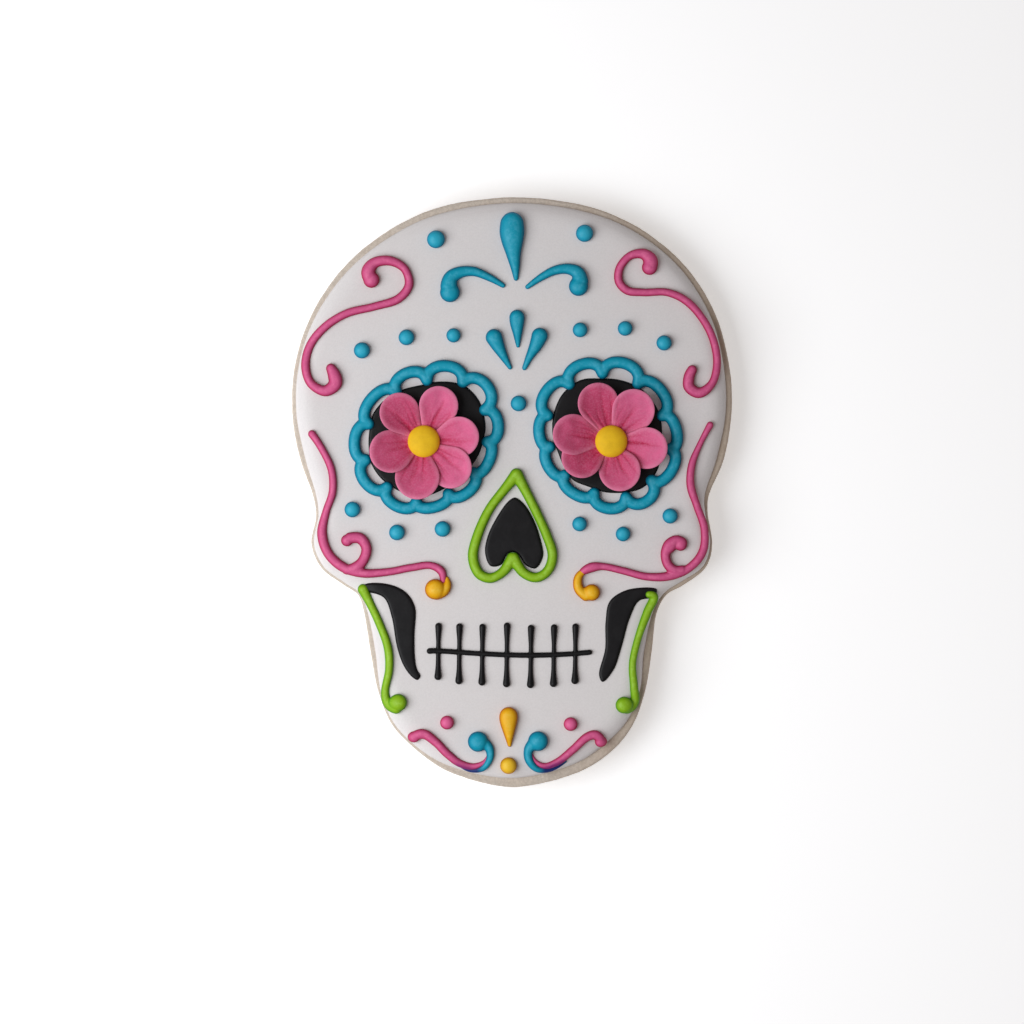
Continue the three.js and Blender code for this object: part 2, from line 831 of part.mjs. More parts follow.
// A petal that lies on the flower's floor, cupped upwards towards its tip and rolled to one side.
function petal([flowerX, flowerY], [degrees, reach, halfWidth], grow = 0) {
  const radial = THREE.MathUtils.degToRad(degrees);
  const [cos, sin] = [Math.cos(radial), Math.sin(radial)];
  const length = reach - PETAL_ROOT;
  const place = (along, across, up) => {
    const lift = PETAL_CUP * (along / reach) ** 1.5 + PETAL_ROLL * across;
    return new THREE.Vector3(
      flowerX + along * cos - across * sin,
      flowerY + along * sin + across * cos,
      FLOWER_FLOOR + PETAL_ROLL * 2 + lift + up,
    );
  };
  const rings = PETAL_ROWS.map((share) => {
    const along = PETAL_ROOT + length * share;
    const width = petalHalfWidth(share, halfWidth) + grow;
    const top = PETAL_COLUMNS.map((column) => {
      const edge = Math.abs(column) === 1;
      const up = edge ? PETAL_THICKNESS / 2 : PETAL_THICKNESS + grow;
      return place(along, width * column, up);
    });
    const bottom = PETAL_COLUMNS.slice(1, -1)
      .reverse()
      .map((column) => place(along, width * column, -grow));
    return [...top, ...bottom];
  });
  const root = place(PETAL_ROOT - grow, 0, PETAL_THICKNESS / 2);
  const tip = place(reach + grow, 0, PETAL_THICKNESS / 2);
  return solidOf(loft(rings, root, tip));
}

// The petals of a flower, each trimmed where its clockwise neighbour lies over it.
function flowerPetals({ flower, petals }) {
  return petals.map((shape, i) => {
    const over = petals[(i + 1) % petals.length];
    return mainBody(petal(flower, shape).subtract(petal(flower, over, FIT_GAP)));
  });
}

// The round button in the middle of a flower, moulded down between the petals.
function flowerButton({ flower, petals }) {
  const foot = FLOWER_FLOOR + PETAL_THICKNESS * 0.6;
  const crown = foot + PETAL_THICKNESS * 0.7 + BUTTON_HEIGHT;
  const profile = [
    [0, foot],
    [BUTTON_RADIUS * 0.95, foot],
    [BUTTON_RADIUS, foot + (crown - foot) * 0.5],
    [BUTTON_RADIUS * 0.82, foot + (crown - foot) * 0.86],
    [0, crown],
  ].map(([radius, z]) => new THREE.Vector2(radius, z));
  const lathe = new THREE.LatheGeometry(profile, BUTTON_SIDES);
  lathe.rotateX(Math.PI / 2);
  lathe.translate(flower[0], flower[1], 0);
  const grown = petals.map((shape) => petal(flower, shape, FIT_GAP));
  return mainBody(grown.reduce((button, leaf) => button.subtract(leaf), solidOf(lathe)));
}

// ---------------------------------------------------------------- the cookie

const cookie = new THREE.Group();

function addPiece(name, slot, solid) {
  const [color, roughness] = COLOURS[slot];
  const material = new THREE.MeshStandardMaterial({ color, roughness, metalness: 0 });
  const mesh = new THREE.Mesh(geometryOf(solid), material);
  mesh.name = name;
  cookie.add(mesh);
}

const biscuitRings = BISCUIT_SIDE.map(([inset, z]) => atHeight(insetOutline(biscuitOutline, () => inset), z));
const middleAt = (z) => new THREE.Vector3(0, 0, z);
addPiece("biscuit", "biscuit", solidOf(loft(biscuitRings, middleAt(0), middleAt(BISCUIT_THICKNESS))));

const icingRings = ICING_INSETS.map((inset) =>
  atHeight(insetOutline(icingOutline, () => inset), BISCUIT_THICKNESS + icingRise(inset)),
);
const icingMiddle = middleAt(BISCUIT_THICKNESS + ICING_THICKNESS);
const flood = solidOf(loft(icingRings, middleAt(BISCUIT_THICKNESS), icingMiddle));
addPiece("white_icing", "white_icing", joined([flood, ...DOTS.map((dot) => blob(dot))]));

const bed = flood.translate(0, 0, FIT_GAP);

// A solid that lies on the white icing, trimmed to it and to the other solids that lie under or beside it.
function onIcing(solid, ...others) {
  return mainBody(others.reduce((cut, other) => cut.subtract(other), solid.subtract(bed)));
}

const panelOutlines = {
  nose_hollow: panelOutline(NOSE_HOLLOW),
  cheek_hollow_left: panelOutline(CHEEK_HOLLOW_LEFT),
  cheek_hollow_right: panelOutline(CHEEK_HOLLOW_RIGHT),
  eye_disc_left: panelOutline(EYES.left.disc),
  eye_disc_right: panelOutline(EYES.right.disc),
};
for (const [name, outline] of Object.entries(panelOutlines)) {
  addPiece(name, "black_icing", onIcing(panel(outline)));
}
const clearOf = (name) => panel(panelOutlines[name], FIT_GAP);

for (const [side, eye] of Object.entries(EYES)) {
  const ring = onIcing(scallopedRing(eye.ring), clearOf(`eye_disc_${side}`));
  addPiece(`eye_ring_${side}`, "turquoise_icing", ring);
  flowerPetals(eye).forEach((solid, i) => addPiece(`petal_${side}_${i + 1}`, "pink_sugar_paste", solid));
  addPiece(`flower_button_${side}`, "yellow_sugar_paste", flowerButton(eye));
}

const noseOutline = stroke(NOSE_STROKE_LEFT).add(stroke(NOSE_STROKE_RIGHT));
addPiece("nose_outline", "green_icing", onIcing(noseOutline, clearOf("nose_hollow")));
addPiece("mouth_stitches", "black_icing", onIcing(mouthStitches()));
addPiece("jaw_line_left", "green_icing", onIcing(stroke(JAW_LINE_LEFT), clearOf("cheek_hollow_left")));
addPiece("jaw_line_right", "green_icing", onIcing(stroke(JAW_LINE_RIGHT), clearOf("cheek_hollow_right")));

const turquoiseStrokes = {
  crown_drop: CROWN_DROP,
  crown_curl_left: CROWN_CURL_LEFT,
  crown_curl_right: CROWN_CURL_RIGHT,
  forehead_drop_left: FOREHEAD_DROP_LEFT,
  forehead_drop_middle: FOREHEAD_DROP_MIDDLE,
  forehead_drop_right: FOREHEAD_DROP_RIGHT,
};
for (const [name, shape] of Object.entries(turquoiseStrokes)) {
  addPiece(name, "turquoise_icing", onIcing(stroke(shape)));
}
addPiece("chin_drop", "orange_icing", onIcing(stroke(CHIN_DROP)));
addPiece("brow_scroll_left", "pink_icing", onIcing(stroke(BROW_SCROLL_LEFT)));
addPiece("brow_scroll_right", "pink_icing", onIcing(stroke(BROW_SCROLL_RIGHT)));
const sides = {
  left: {
    cheekScroll: CHEEK_SCROLL_LEFT,
    cheekCurl: CHEEK_CURL_LEFT,
    cheekHook: CHEEK_HOOK_LEFT,
    chinScroll: CHIN_SCROLL_LEFT,
    chinCurl: CHIN_CURL_LEFT,
  },
  right: {
    cheekScroll: CHEEK_SCROLL_RIGHT,
    cheekCurl: CHEEK_CURL_RIGHT,
    cheekHook: CHEEK_HOOK_RIGHT,
    chinScroll: CHIN_SCROLL_RIGHT,
    chinCurl: CHIN_CURL_RIGHT,
  },
};
for (const [side, { cheekScroll, cheekCurl, cheekHook, chinScroll, chinCurl }] of Object.entries(sides)) {
  const cheek = stroke(cheekScroll).add(stroke(cheekCurl));
  const hook = onIcing(stroke(cheekHook), stroke(cheekScroll, FIT_GAP));
  const curl = onIcing(stroke(chinCurl), stroke(chinScroll, FIT_GAP));
  addPiece(`cheek_scroll_${side}`, "pink_icing", onIcing(cheek));
  addPiece(`cheek_hook_${side}`, "orange_icing", hook);
  addPiece(`chin_scroll_${side}`, "pink_icing", onIcing(stroke(chinScroll)));
  addPiece(`chin_curl_${side}`, "turquoise_icing", curl);
}

export default cookie;
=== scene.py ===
"""An iced sugar cookie: a skull-shaped biscuit, flooded and piped, with sugar-paste flowers."""

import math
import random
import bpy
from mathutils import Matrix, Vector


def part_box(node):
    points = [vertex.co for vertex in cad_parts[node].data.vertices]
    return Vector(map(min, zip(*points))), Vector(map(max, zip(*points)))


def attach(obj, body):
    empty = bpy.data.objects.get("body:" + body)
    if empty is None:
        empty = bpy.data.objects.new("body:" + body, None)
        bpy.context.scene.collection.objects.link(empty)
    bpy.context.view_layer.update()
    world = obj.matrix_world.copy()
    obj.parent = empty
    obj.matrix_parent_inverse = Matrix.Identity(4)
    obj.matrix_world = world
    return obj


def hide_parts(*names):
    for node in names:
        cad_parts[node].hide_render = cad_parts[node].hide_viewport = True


bl_info = {
    "name": "Iced Sugar Cookie",
    "version": (1, 0, 0),
    "blender": (4, 5, 0),
    "location": "3D View > Sidebar > Cookie",
    "description": "Bakes, floods and pipes a sugar-skull cookie around its solids",
    "category": "Add Mesh",
}

import bmesh
import bpy
from bpy.props import FloatProperty, FloatVectorProperty, IntProperty, PointerProperty
from bpy.types import Operator, Panel, PropertyGroup
from mathutils import Vector, noise
from mathutils.geometry import delaunay_2d_cdt
from mathutils.kdtree import KDTree

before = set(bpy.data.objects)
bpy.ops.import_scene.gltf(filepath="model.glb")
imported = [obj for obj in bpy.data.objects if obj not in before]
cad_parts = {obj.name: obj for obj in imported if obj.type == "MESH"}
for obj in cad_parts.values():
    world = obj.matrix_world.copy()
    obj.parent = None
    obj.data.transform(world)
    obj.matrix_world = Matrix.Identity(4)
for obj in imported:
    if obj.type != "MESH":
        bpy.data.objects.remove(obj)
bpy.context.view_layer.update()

MM = 0.001
BISCUIT_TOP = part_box("biscuit")[1].z / MM

# ---------------------------------------------------------------- the drawing, in millimetres
# x to the right, y towards the crown, from the middle of the cookie.

# The skull in rows from crown to chin: y, reach left, reach right, bare rim left, bare rim right.
CROWN = (0.4, 59.15, 1.2)
CHIN = (0.2, -59.15, 1.8)
SKULL_ROWS = [
    (56.8, 15.6, 17.0, 1.3, 1.2),
    (52.0, 25.4, 27.0, 1.2, 1.1),
    (44.8, 34.0, 35.2, 1.1, 1.1),
    (35.2, 40.4, 41.0, 0.9, 1.1),
    (25.6, 43.5, 43.5, 0.8, 1.1),
    (16.0, 44.05, 44.05, 0.8, 1.2),
    (6.4, 42.4, 42.4, 1.0, 1.4),
    (-1.0, 39.8, 39.4, 0.6, 0.8),
    (-4.6, 39.3, 39.3, 0.5, 0.5),
    (-10.4, 40.2, 40.2, 0.5, 0.5),
    (-15.2, 38.2, 38.8, 0.5, 0.6),
    (-18.6, 33.8, 34.4, 0.5, 0.8),
    (-20.6, 30.9, 31.0, 0.5, 0.6),
    (-24.0, 29.7, 29.1, 0.7, 0.8),
    (-32.0, 28.4, 28.0, 1.0, 1.5),
    (-40.0, 26.8, 26.7, 0.5, 1.1),
    (-46.4, 24.2, 24.4, 0.5, 1.4),
    (-51.6, 19.4, 20.4, 0.6, 2.0),
    (-56.0, 12.8, 13.8, 1.1, 1.9),
]

# Dots: x, y, radius.
TURQUOISE_DOTS = [
    (-15.2, 50.5, 1.8), (14.5, 51.7, 1.75), (-30.0, 28.3, 1.65), (-21.1, 30.9, 1.6), (-11.7, 31.3, 1.45),
    (13.6, 32.4, 1.5), (22.6, 32.7, 1.5), (30.4, 29.8, 1.55), (1.3, 17.7, 1.6), (-31.9, -3.5, 1.6),
    (-23.0, -8.1, 1.6), (-13.9, -7.4, 1.6), (13.5, -6.4, 1.5), (22.2, -8.4, 1.5), (31.6, -4.8, 1.55),
]
PINK_DOTS = [(-13.0, -46.1, 1.4), (11.7, -46.4, 1.4)]
ORANGE_DOTS = [(-0.7, -54.7, 1.7)]

# Piped pieces: the slot that colours each, its strokes as knots of x, y and bead radius, and its round bulbs.
PIPED = {
    "brow_scroll_left": (
        "pink_icing",
        [
            [
                (-28.4, 42.7, 1.4), (-28.7, 44.2, 1.42), (-27.5, 45.8, 1.12), (-24.4, 46.2, 0.98),
                (-21.5, 44.6, 0.85), (-20.6, 41.4, 0.9), (-22.6, 38.7, 0.9), (-27.4, 37.1, 0.82),
                (-33.0, 35.7, 0.84), (-37.4, 33.0, 0.85), (-40.4, 29.3, 0.86), (-41.3, 25.2, 0.9),
                (-40.2, 21.7, 0.9), (-37.3, 20.2, 1.1), (-35.3, 21.7, 1.38), (-35.5, 23.2, 1.34),
                (-36.2, 24.7, 1.0),
            ],
        ],
        [(-28.1, 42.4, 1.62)],
    ),
    "brow_scroll_right": (
        "pink_icing",
        [
            [
                (27.6, 45.2, 1.5), (27.6, 46.4, 1.5), (26.2, 47.6, 1.1), (23.6, 47.2, 0.84),
                (21.5, 44.7, 0.85), (21.4, 42.0, 0.86), (23.0, 40.3, 0.85), (26.2, 39.9, 0.8),
                (31.0, 39.9, 0.78), (34.8, 38.2, 0.8), (38.0, 34.8, 0.8), (40.3, 30.3, 0.8),
                (41.0, 25.4, 0.82), (39.9, 21.6, 0.84), (37.4, 19.8, 1.08), (35.4, 21.0, 1.15),
                (35.4, 23.0, 1.12), (36.0, 24.4, 1.0),
            ],
        ],
        [(27.5, 44.9, 1.55)],
    ),
    "cheek_scroll_left": (
        "pink_icing",
        [
            [
                (-40.0, 11.6, 0.8), (-37.9, 8.4, 0.74), (-36.1, 4.4, 0.78), (-35.9, 0.0, 0.8),
                (-37.2, -4.0, 0.8), (-38.0, -8.4, 1.0), (-36.8, -12.2, 0.98), (-34.0, -14.9, 1.0),
                (-30.0, -16.2, 0.92), (-25.0, -16.0, 0.8), (-20.0, -15.1, 0.78), (-16.2, -14.7, 0.76),
                (-14.1, -15.9, 0.84), (-13.8, -17.8, 0.62),
            ],
            [
                (-32.4, -9.2, 1.12), (-30.3, -9.3, 1.12), (-29.1, -11.3, 1.04), (-29.9, -13.9, 1.05),
                (-31.3, -15.1, 1.1), (-33.0, -15.6, 0.95),
            ],
        ],
        [(-33.0, -9.7, 1.2)],
    ),
    "cheek_scroll_right": (
        "pink_icing",
        [
            [
                (39.6, 13.4, 0.7), (37.6, 9.6, 0.6), (36.0, 5.6, 0.76), (35.7, 1.4, 0.84), (37.0, -2.8, 0.78),
                (38.5, -7.4, 0.82), (38.1, -12.0, 0.86), (35.4, -15.2, 0.86), (31.4, -16.8, 0.92),
                (26.8, -16.9, 0.8), (22.4, -15.8, 0.76), (18.2, -14.9, 0.76), (15.8, -15.1, 1.0),
                (14.2, -15.9, 0.75),
            ],
            [
                (33.8, -10.2, 1.25), (32.8, -9.8, 1.2), (31.6, -10.7, 1.4), (30.7, -12.3, 1.02),
                (31.1, -14.4, 0.98), (32.4, -15.6, 1.0), (34.0, -15.6, 0.95),
            ],
        ],
        [(33.7, -10.5, 1.3)],
    ),
    "cheek_hook_left": (
        "orange_icing",
        [[(-15.0, -20.2, 1.35), (-13.6, -19.7, 1.12), (-12.95, -18.5, 0.85), (-13.1, -17.3, 0.5)]],
        [(-15.35, -19.45, 2.08)],
    ),
    "cheek_hook_right": (
        "orange_icing",
        [[(14.6, -15.7, 0.6), (13.3, -17.0, 0.85), (13.3, -19.2, 1.0), (14.8, -20.7, 1.15)]],
        [(15.9, -20.1, 1.7)],
    ),
    "crown_drop": (
        "turquoise_icing",
        [
            [
                (0.0, 53.5, 2.4), (0.0, 51.8, 2.5), (0.1, 49.9, 2.15), (0.3, 47.6, 1.52), (0.6, 45.2, 1.02),
                (0.8, 42.7, 0.5),
            ],
        ],
        [],
    ),
    "crown_curl_left": (
        "turquoise_icing",
        [
            [
                (-12.6, 41.1, 1.75), (-12.2, 42.8, 1.5), (-10.4, 43.9, 1.2), (-7.8, 44.1, 0.98),
                (-4.8, 43.0, 0.78), (-1.8, 41.3, 0.5),
            ],
        ],
        [(-12.4, 39.9, 2.0)],
    ),
    "crown_curl_right": (
        "turquoise_icing",
        [
            [
                (13.6, 42.1, 1.7), (13.1, 43.8, 1.4), (11.2, 44.6, 1.1), (8.6, 44.3, 0.94), (5.8, 42.9, 0.74),
                (3.1, 41.0, 0.5),
            ],
        ],
        [(13.3, 41.1, 1.95)],
    ),
    "forehead_drop_left": (
        "turquoise_icing",
        [[(-3.6, 30.9, 1.7), (-2.7, 29.0, 1.3), (-1.6, 27.0, 0.86), (-0.4, 24.9, 0.46)]],
        [],
    ),
    "forehead_drop_middle": (
        "turquoise_icing",
        [[(1.0, 34.9, 1.56), (1.0, 33.8, 1.45), (1.1, 31.8, 0.98), (1.2, 29.2, 0.38)]],
        [],
    ),
    "forehead_drop_right": (
        "turquoise_icing",
        [[(5.5, 31.2, 1.65), (4.8, 29.4, 1.35), (3.6, 27.2, 0.86), (2.5, 24.8, 0.5)]],
        [],
    ),
    "chin_drop": (
        "orange_icing",
        [[(-0.7, -44.8, 1.85), (-0.7, -45.9, 1.78), (-0.6, -48.1, 1.16), (-0.5, -50.6, 0.42)]],
        [],
    ),
    "chin_scroll_left": (
        "pink_icing",
        [
            [
                (-19.2, -48.7, 1.0), (-17.6, -48.4, 1.0), (-15.4, -49.9, 0.9), (-12.8, -52.5, 0.84),
                (-10.4, -54.3, 0.78), (-7.8, -54.9, 0.66), (-5.7, -54.1, 0.45), (-4.9, -52.9, 0.28),
            ],
        ],
        [(-19.6, -49.0, 1.15)],
    ),
    "chin_scroll_right": (
        "pink_icing",
        [
            [
                (17.6, -49.4, 1.0), (16.7, -48.6, 0.98), (15.0, -49.0, 0.9), (12.2, -51.5, 0.82),
                (9.2, -53.9, 0.76), (6.6, -54.8, 0.62), (4.7, -53.9, 0.44), (4.0, -52.5, 0.28),
            ],
        ],
        [(17.7, -49.9, 1.15)],
    ),
    "chin_curl_left": (
        "turquoise_icing",
        [
            [
                (-6.0, -50.1, 1.35), (-4.6, -51.2, 0.95), (-4.4, -53.2, 0.74), (-5.8, -55.2, 0.66),
                (-8.2, -55.65, 0.5), (-10.5, -54.75, 0.3),
            ],
        ],
        [(-6.8, -49.9, 2.05)],
    ),
    "chin_curl_right": (
        "turquoise_icing",
        [
            [
                (4.4, -50.2, 1.35), (3.3, -51.6, 0.98), (3.4, -53.6, 0.84), (5.0, -55.4, 0.7),
                (7.8, -55.45, 0.54), (10.8, -53.9, 0.25),
            ],
        ],
        [(5.2, -49.8, 2.0)],
    ),
    "jaw_line_left": (
        "green_icing",
        [
            [
                (-29.8, -19.5, 1.1), (-28.4, -22.3, 0.86), (-26.4, -26.6, 0.84), (-24.8, -31.2, 0.86),
                (-24.6, -35.6, 0.84), (-25.4, -39.8, 0.84), (-25.15, -41.6, 0.98), (-24.4, -42.7, 1.1),
                (-23.2, -43.2, 1.2),
            ],
        ],
        [(-22.75, -42.1, 1.76)],
    ),
    "jaw_line_right": (
        "green_icing",
        [
            [
                (27.4, -20.5, 0.75), (28.4, -20.9, 0.9), (27.1, -24.0, 0.9), (25.2, -29.3, 0.76),
                (24.1, -34.4, 0.76), (24.4, -38.8, 0.84), (24.6, -41.5, 0.96), (24.0, -42.7, 1.1),
                (23.0, -43.2, 1.2),
            ],
        ],
        [(22.4, -42.6, 1.7)],
    ),
    "nose_outline": (
        "green_icing",
        [
            [
                (0.9, 3.4, 1.35), (2.3, 1.0, 1.05), (4.6, -3.5, 0.96), (6.9, -8.6, 0.97), (8.1, -12.8, 1.0),
                (7.0, -15.9, 1.0), (4.8, -17.1, 1.0), (2.4, -16.2, 1.0), (0.3, -13.2, 1.2),
            ],
            [
                (0.9, 3.4, 1.35), (-1.2, 0.9, 1.02), (-4.6, -3.6, 0.95), (-7.0, -9.0, 1.0),
                (-7.8, -13.1, 1.04), (-6.6, -16.3, 1.04), (-4.4, -17.2, 1.02), (-2.0, -16.1, 1.0),
                (0.1, -13.2, 1.2),
            ],
        ],
        [],
    ),
}

# The chin's strokes that were piped wet on wet, so that their colours have run together.
CHIN_RUNS = ("chin_scroll_left", "chin_scroll_right", "chin_curl_left", "chin_curl_right")

# The mouth: its long line as knots; its upright stitches as x, top y and bottom y; their radius at shares of
# the way down; and how far they lean.
MOUTH_LINE = [
    (-16.5, -31.8, 0.6), (-13.6, -31.85, 0.55), (-6.0, -32.35, 0.52), (3.0, -32.65, 0.54),
    (10.6, -32.45, 0.52), (15.5, -32.05, 0.54),
]
STITCHES = [
    (-14.7, -26.8, -36.9), (-10.5, -26.9, -37.75), (-5.9, -27.0, -38.0), (-1.0, -26.75, -38.35),
    (3.8, -27.2, -38.5), (8.4, -27.1, -38.3), (12.7, -26.95, -37.7),
]
STITCH_SHAPE = [(0.0, 0.67), (0.12, 0.58), (0.3, 0.45), (0.5, 0.46), (0.68, 0.46), (0.84, 0.54), (1.0, 0.74)]
STITCH_LEAN = -0.12

# Black panels, as knots of their outlines.
HOLLOWS = {
    "nose_hollow": [
        (0.6, -1.1), (2.5, -2.5), (4.5, -5.9), (5.8, -9.8), (6.2, -12.9), (4.7, -15.3), (2.7, -14.6),
        (1.4, -12.7), (0.3, -12.0), (-0.8, -12.4), (-2.2, -14.6), (-4.3, -14.8), (-5.4, -12.2),
        (-4.9, -8.9), (-2.9, -4.8), (-0.7, -1.8),
    ],
    "cheek_hollow_left": [
        (-29.7, -18.6), (-25.4, -18.3), (-21.4, -19.9), (-19.4, -23.0), (-19.5, -28.6), (-19.4, -33.2),
        (-19.0, -35.4), (-18.3, -36.8), (-18.9, -37.6), (-20.1, -36.9), (-21.7, -34.7), (-23.0, -31.0),
        (-24.1, -24.9), (-25.6, -21.2), (-28.6, -20.1), (-29.8, -20.1),
    ],
    "cheek_hollow_right": [
        (29.0, -19.5), (27.4, -19.1), (22.6, -19.7), (19.5, -21.9), (18.7, -26.0), (18.6, -31.4),
        (17.4, -36.6), (18.1, -38.0), (20.3, -35.6), (22.0, -30.7), (23.5, -25.4), (25.4, -21.8),
        (28.4, -21.0),
    ],
}

# The scalloped rings: radius of their bead, and steps and roundness of each arc.
RING_BEAD = 1.2
SCALLOP_STEPS = 8
SCALLOP_ROUNDNESS = 0.8

# The petals: the seed that each flower's draws count on from; steps of the round end; how many fine creases;
# and, for the fine ones and the broad one, the half angle of their fan in degrees and their width.
PETAL_SEEDS = {"left": 10, "right": 20}
PETAL_STEPS = 48
FINE_CREASES = 8
FINE_FAN = 26
FINE_CREASE = 0.15
BROAD_FAN = 7
BROAD_CREASE = 0.34

# Eyes: the black disc as knots of its outline; the flower's middle; the ring's scallops as the cusp that each
# starts from and how far its round arc bulges; and the petals as direction in degrees, reach, half width and
# how far the crimson painted shade of the root spreads over them.
EYES = {
    "left": {
        "disc": [
            (-5.3, 13.4), (-6.4, 17.9), (-8.8, 20.8), (-11.0, 21.8), (-13.4, 22.1), (-15.6, 22.0),
            (-17.8, 21.5), (-21.6, 20.6), (-24.2, 19.3), (-26.2, 17.8), (-27.9, 15.4), (-28.6, 11.8),
            (-28.7, 9.4), (-28.2, 5.8), (-26.0, 2.5), (-22.4, 0.1), (-19.4, -0.8), (-16.4, -0.6),
            (-11.4, 2.0), (-7.0, 6.8), (-5.5, 11.2),
        ],
        "flower": (-17.6, 10.1),
        "scallops": [
            (-23.2, 20.0, 2.7), (-17.0, 22.4, 3.0), (-9.8, 22.0, 3.3), (-5.4, 16.4, 2.4),
            (-4.9, 10.0, 1.8), (-7.6, 3.8, 2.2), (-12.7, -0.4, 1.8), (-19.1, -2.1, 2.4),
            (-25.0, 0.9, 2.75), (-29.3, 6.4, 2.5), (-28.7, 13.6, 2.8),
        ],
        "petals": [
            (130, 11.4, 4.0, 0.45), (67, 11.6, 3.9, 0.0), (7, 11.1, 4.05, 0.0),
            (-44, 11.7, 4.2, 0.0), (-100, 11.7, 4.45, 0.3), (-163, 11.1, 4.3, 0.35),
        ],
    },
    "right": {
        "disc": [
            (30.0, 12.4), (29.7, 14.8), (28.9, 17.0), (25.8, 20.7), (21.2, 22.5), (17.6, 22.7),
            (14.4, 22.6), (12.2, 21.6), (10.0, 19.5), (8.8, 17.2), (8.1, 14.4), (8.2, 10.8), (9.0, 8.4),
            (10.4, 5.0), (12.2, 2.4), (15.4, 1.0), (18.8, -0.1), (23.6, 0.0), (26.4, 1.0), (28.9, 4.0),
            (30.0, 8.0),
        ],
        "flower": (19.8, 10.1),
        "scallops": [
            (11.4, 21.6, 2.9), (18.1, 23.8, 3.1), (25.2, 21.7, 2.8), (30.1, 15.3, 2.0),
            (31.7, 8.6, 2.4), (27.9, 2.3, 2.9), (22.8, -1.1, 2.6), (16.4, -0.3, 2.1),
            (10.5, 3.3, 2.0), (7.5, 9.0, 1.9), (7.1, 15.3, 2.9),
        ],
        "petals": [
            (109, 12.1, 4.1, 0.55), (54.5, 11.8, 4.25, 0.0), (-11, 11.3, 4.15, 0.0),
            (-74, 10.2, 4.15, 0.25), (-151, 10.8, 4.1, 0.55), (170, 11.8, 4.1, 0.35),
        ],
    },
}

# ---------------------------------------------------------------- settings


def length(name, description, default, **options):
    """A size in metres that the panel shows, from a default in millimetres."""
    return FloatProperty(
        name=name, description=description, default=default * MM, subtype="DISTANCE", unit="LENGTH",
        precision=5, **options,
    )


def colour(name, description, default):
    """A linear colour that the panel shows as a swatch."""
    return FloatVectorProperty(
        name=name, description=description, default=default, subtype="COLOR", size=3, min=0.0, max=1.0,
    )


class BiscuitSettings(PropertyGroup):
    """The baked biscuit."""

    edge_radius: length("Edge Radius", "Rounding of the biscuit's upper and lower edges", 0.55)
    unevenness: length("Unevenness", "How far the rolled and cut side wanders in and out", 0.1)
    crumb: colour("Crumb", "Pale baked dough", (0.72, 0.66, 0.59))
    # The crust colour is also the colour of the painted shade on the biscuit's right side.
    crust_and_shade: colour("Crust", "Browner dough along the edges and underneath", (0.54, 0.41, 0.29))


class IcingSettings(PropertyGroup):
    """The white icing and the black panels flooded on it."""

    thickness: length("Thickness", "Height of the white icing above the biscuit", 2.2)
    shoulder: length("Shoulder", "Width over which the white icing curves down to its edge", 4.8)
    crease: length("Crease", "Depth of the faint line that the piped border leaves under the flood", 0.03)
    wave: length("Wave", "Height of the slow waves on the dried surface", 0.035)
    panel: length("Panel Thickness", "Height of a black panel above the white icing", 0.5)
    panel_edge: length("Panel Edge", "Width of a black panel's rounded edge", 0.6)
    white: colour("White", "Dried white icing", (0.84, 0.805, 0.795))
    black: colour("Black", "Dried black icing", (0.0045, 0.004, 0.005))


class PipingSettings(PropertyGroup):
    """Piped beads, dots and bulbs."""

    lift: FloatProperty(
        name="Lift", description="Height of a bead's middle as a share of the bead's height", default=0.45,
    )
    thin_bead: length("Thin Bead", "Beads up to this radius are round, wider ones are flatter domes", 0.9)
    wide_rise: FloatProperty(
        name="Wide Rise", description="How fast the height of a wide bead grows with its radius",
        default=0.45,
    )
    foot: length("Foot", "How deep a bead's flat foot sits in the icing below", 0.12)
    unevenness: length("Unevenness", "How far a bead's surface wanders, from the hand that squeezes", 0.08)
    blend: IntProperty(
        name="Blend", description="Smoothing of the joins where strokes run together", default=12,
    )
    voxel: length("Voxel", "Grain at which strokes that touch are joined into one skin", 0.12)
    sides: IntProperty(name="Sides", description="Faces around a bead", default=28, min=8)
    ring_fullness: FloatProperty(
        name="Ring Fullness", description="Radius of the scalloped rings' bead as a share of the piped one",
        default=1.02,
    )
    turquoise: colour("Turquoise", "Turquoise icing", (0.001, 0.365, 0.52))
    pink: colour("Pink", "Pink icing", (0.72, 0.105, 0.28))
    green: colour("Green", "Lime green icing", (0.29, 0.55, 0.010))
    orange: colour("Orange", "Golden orange icing", (0.98, 0.505, 0.007))
    navy: colour("Navy", "Turquoise that has run into pink", (0.012, 0.03, 0.17))
    plum: colour("Plum", "Pink that has run into turquoise", (0.20, 0.010, 0.15))


class FlowerSettings(PropertyGroup):
    """The two sugar-paste flowers."""

    thickness: length("Petal Thickness", "Thickness of a petal", 0.85)
    cup: length("Cup", "How far a petal's tip rises above its root", 2.7)
    roll: length("Roll", "How far a petal's edge is lifted over the next one", 0.42)
    spoon: length("Spoon", "How far a petal's sides curl up", 0.85)
    lip: length("Lip", "Width of a petal's rounded edge", 0.95)
    crease: length("Crease", "Depth of the fine creases that fan out from a petal's root", 0.2)
    button_radius: length("Button Radius", "Radius of the yellow button", 3.2)
    button_height: length("Button Height", "Height of the yellow button above the petals", 2.2)
    petal: colour("Petal", "Pink sugar paste", (0.78, 0.14, 0.3))
    # The petal root colour is the crimson of painted shade at the roots, in the creases and over the petals
    # that carry more of it.
    petal_root: colour("Petal Root", "Crimson at the roots and in the creases", (0.5, 0.018, 0.08))
    # This pale colour is the powdery specks over each petal and the painted highlight on its rounded rims.
    petal_rim: colour("Petal Rim", "Powdered pink of the rims", (0.85, 0.30, 0.46))
    button: colour("Button", "Yellow sugar paste", (0.93, 0.56, 0.014))


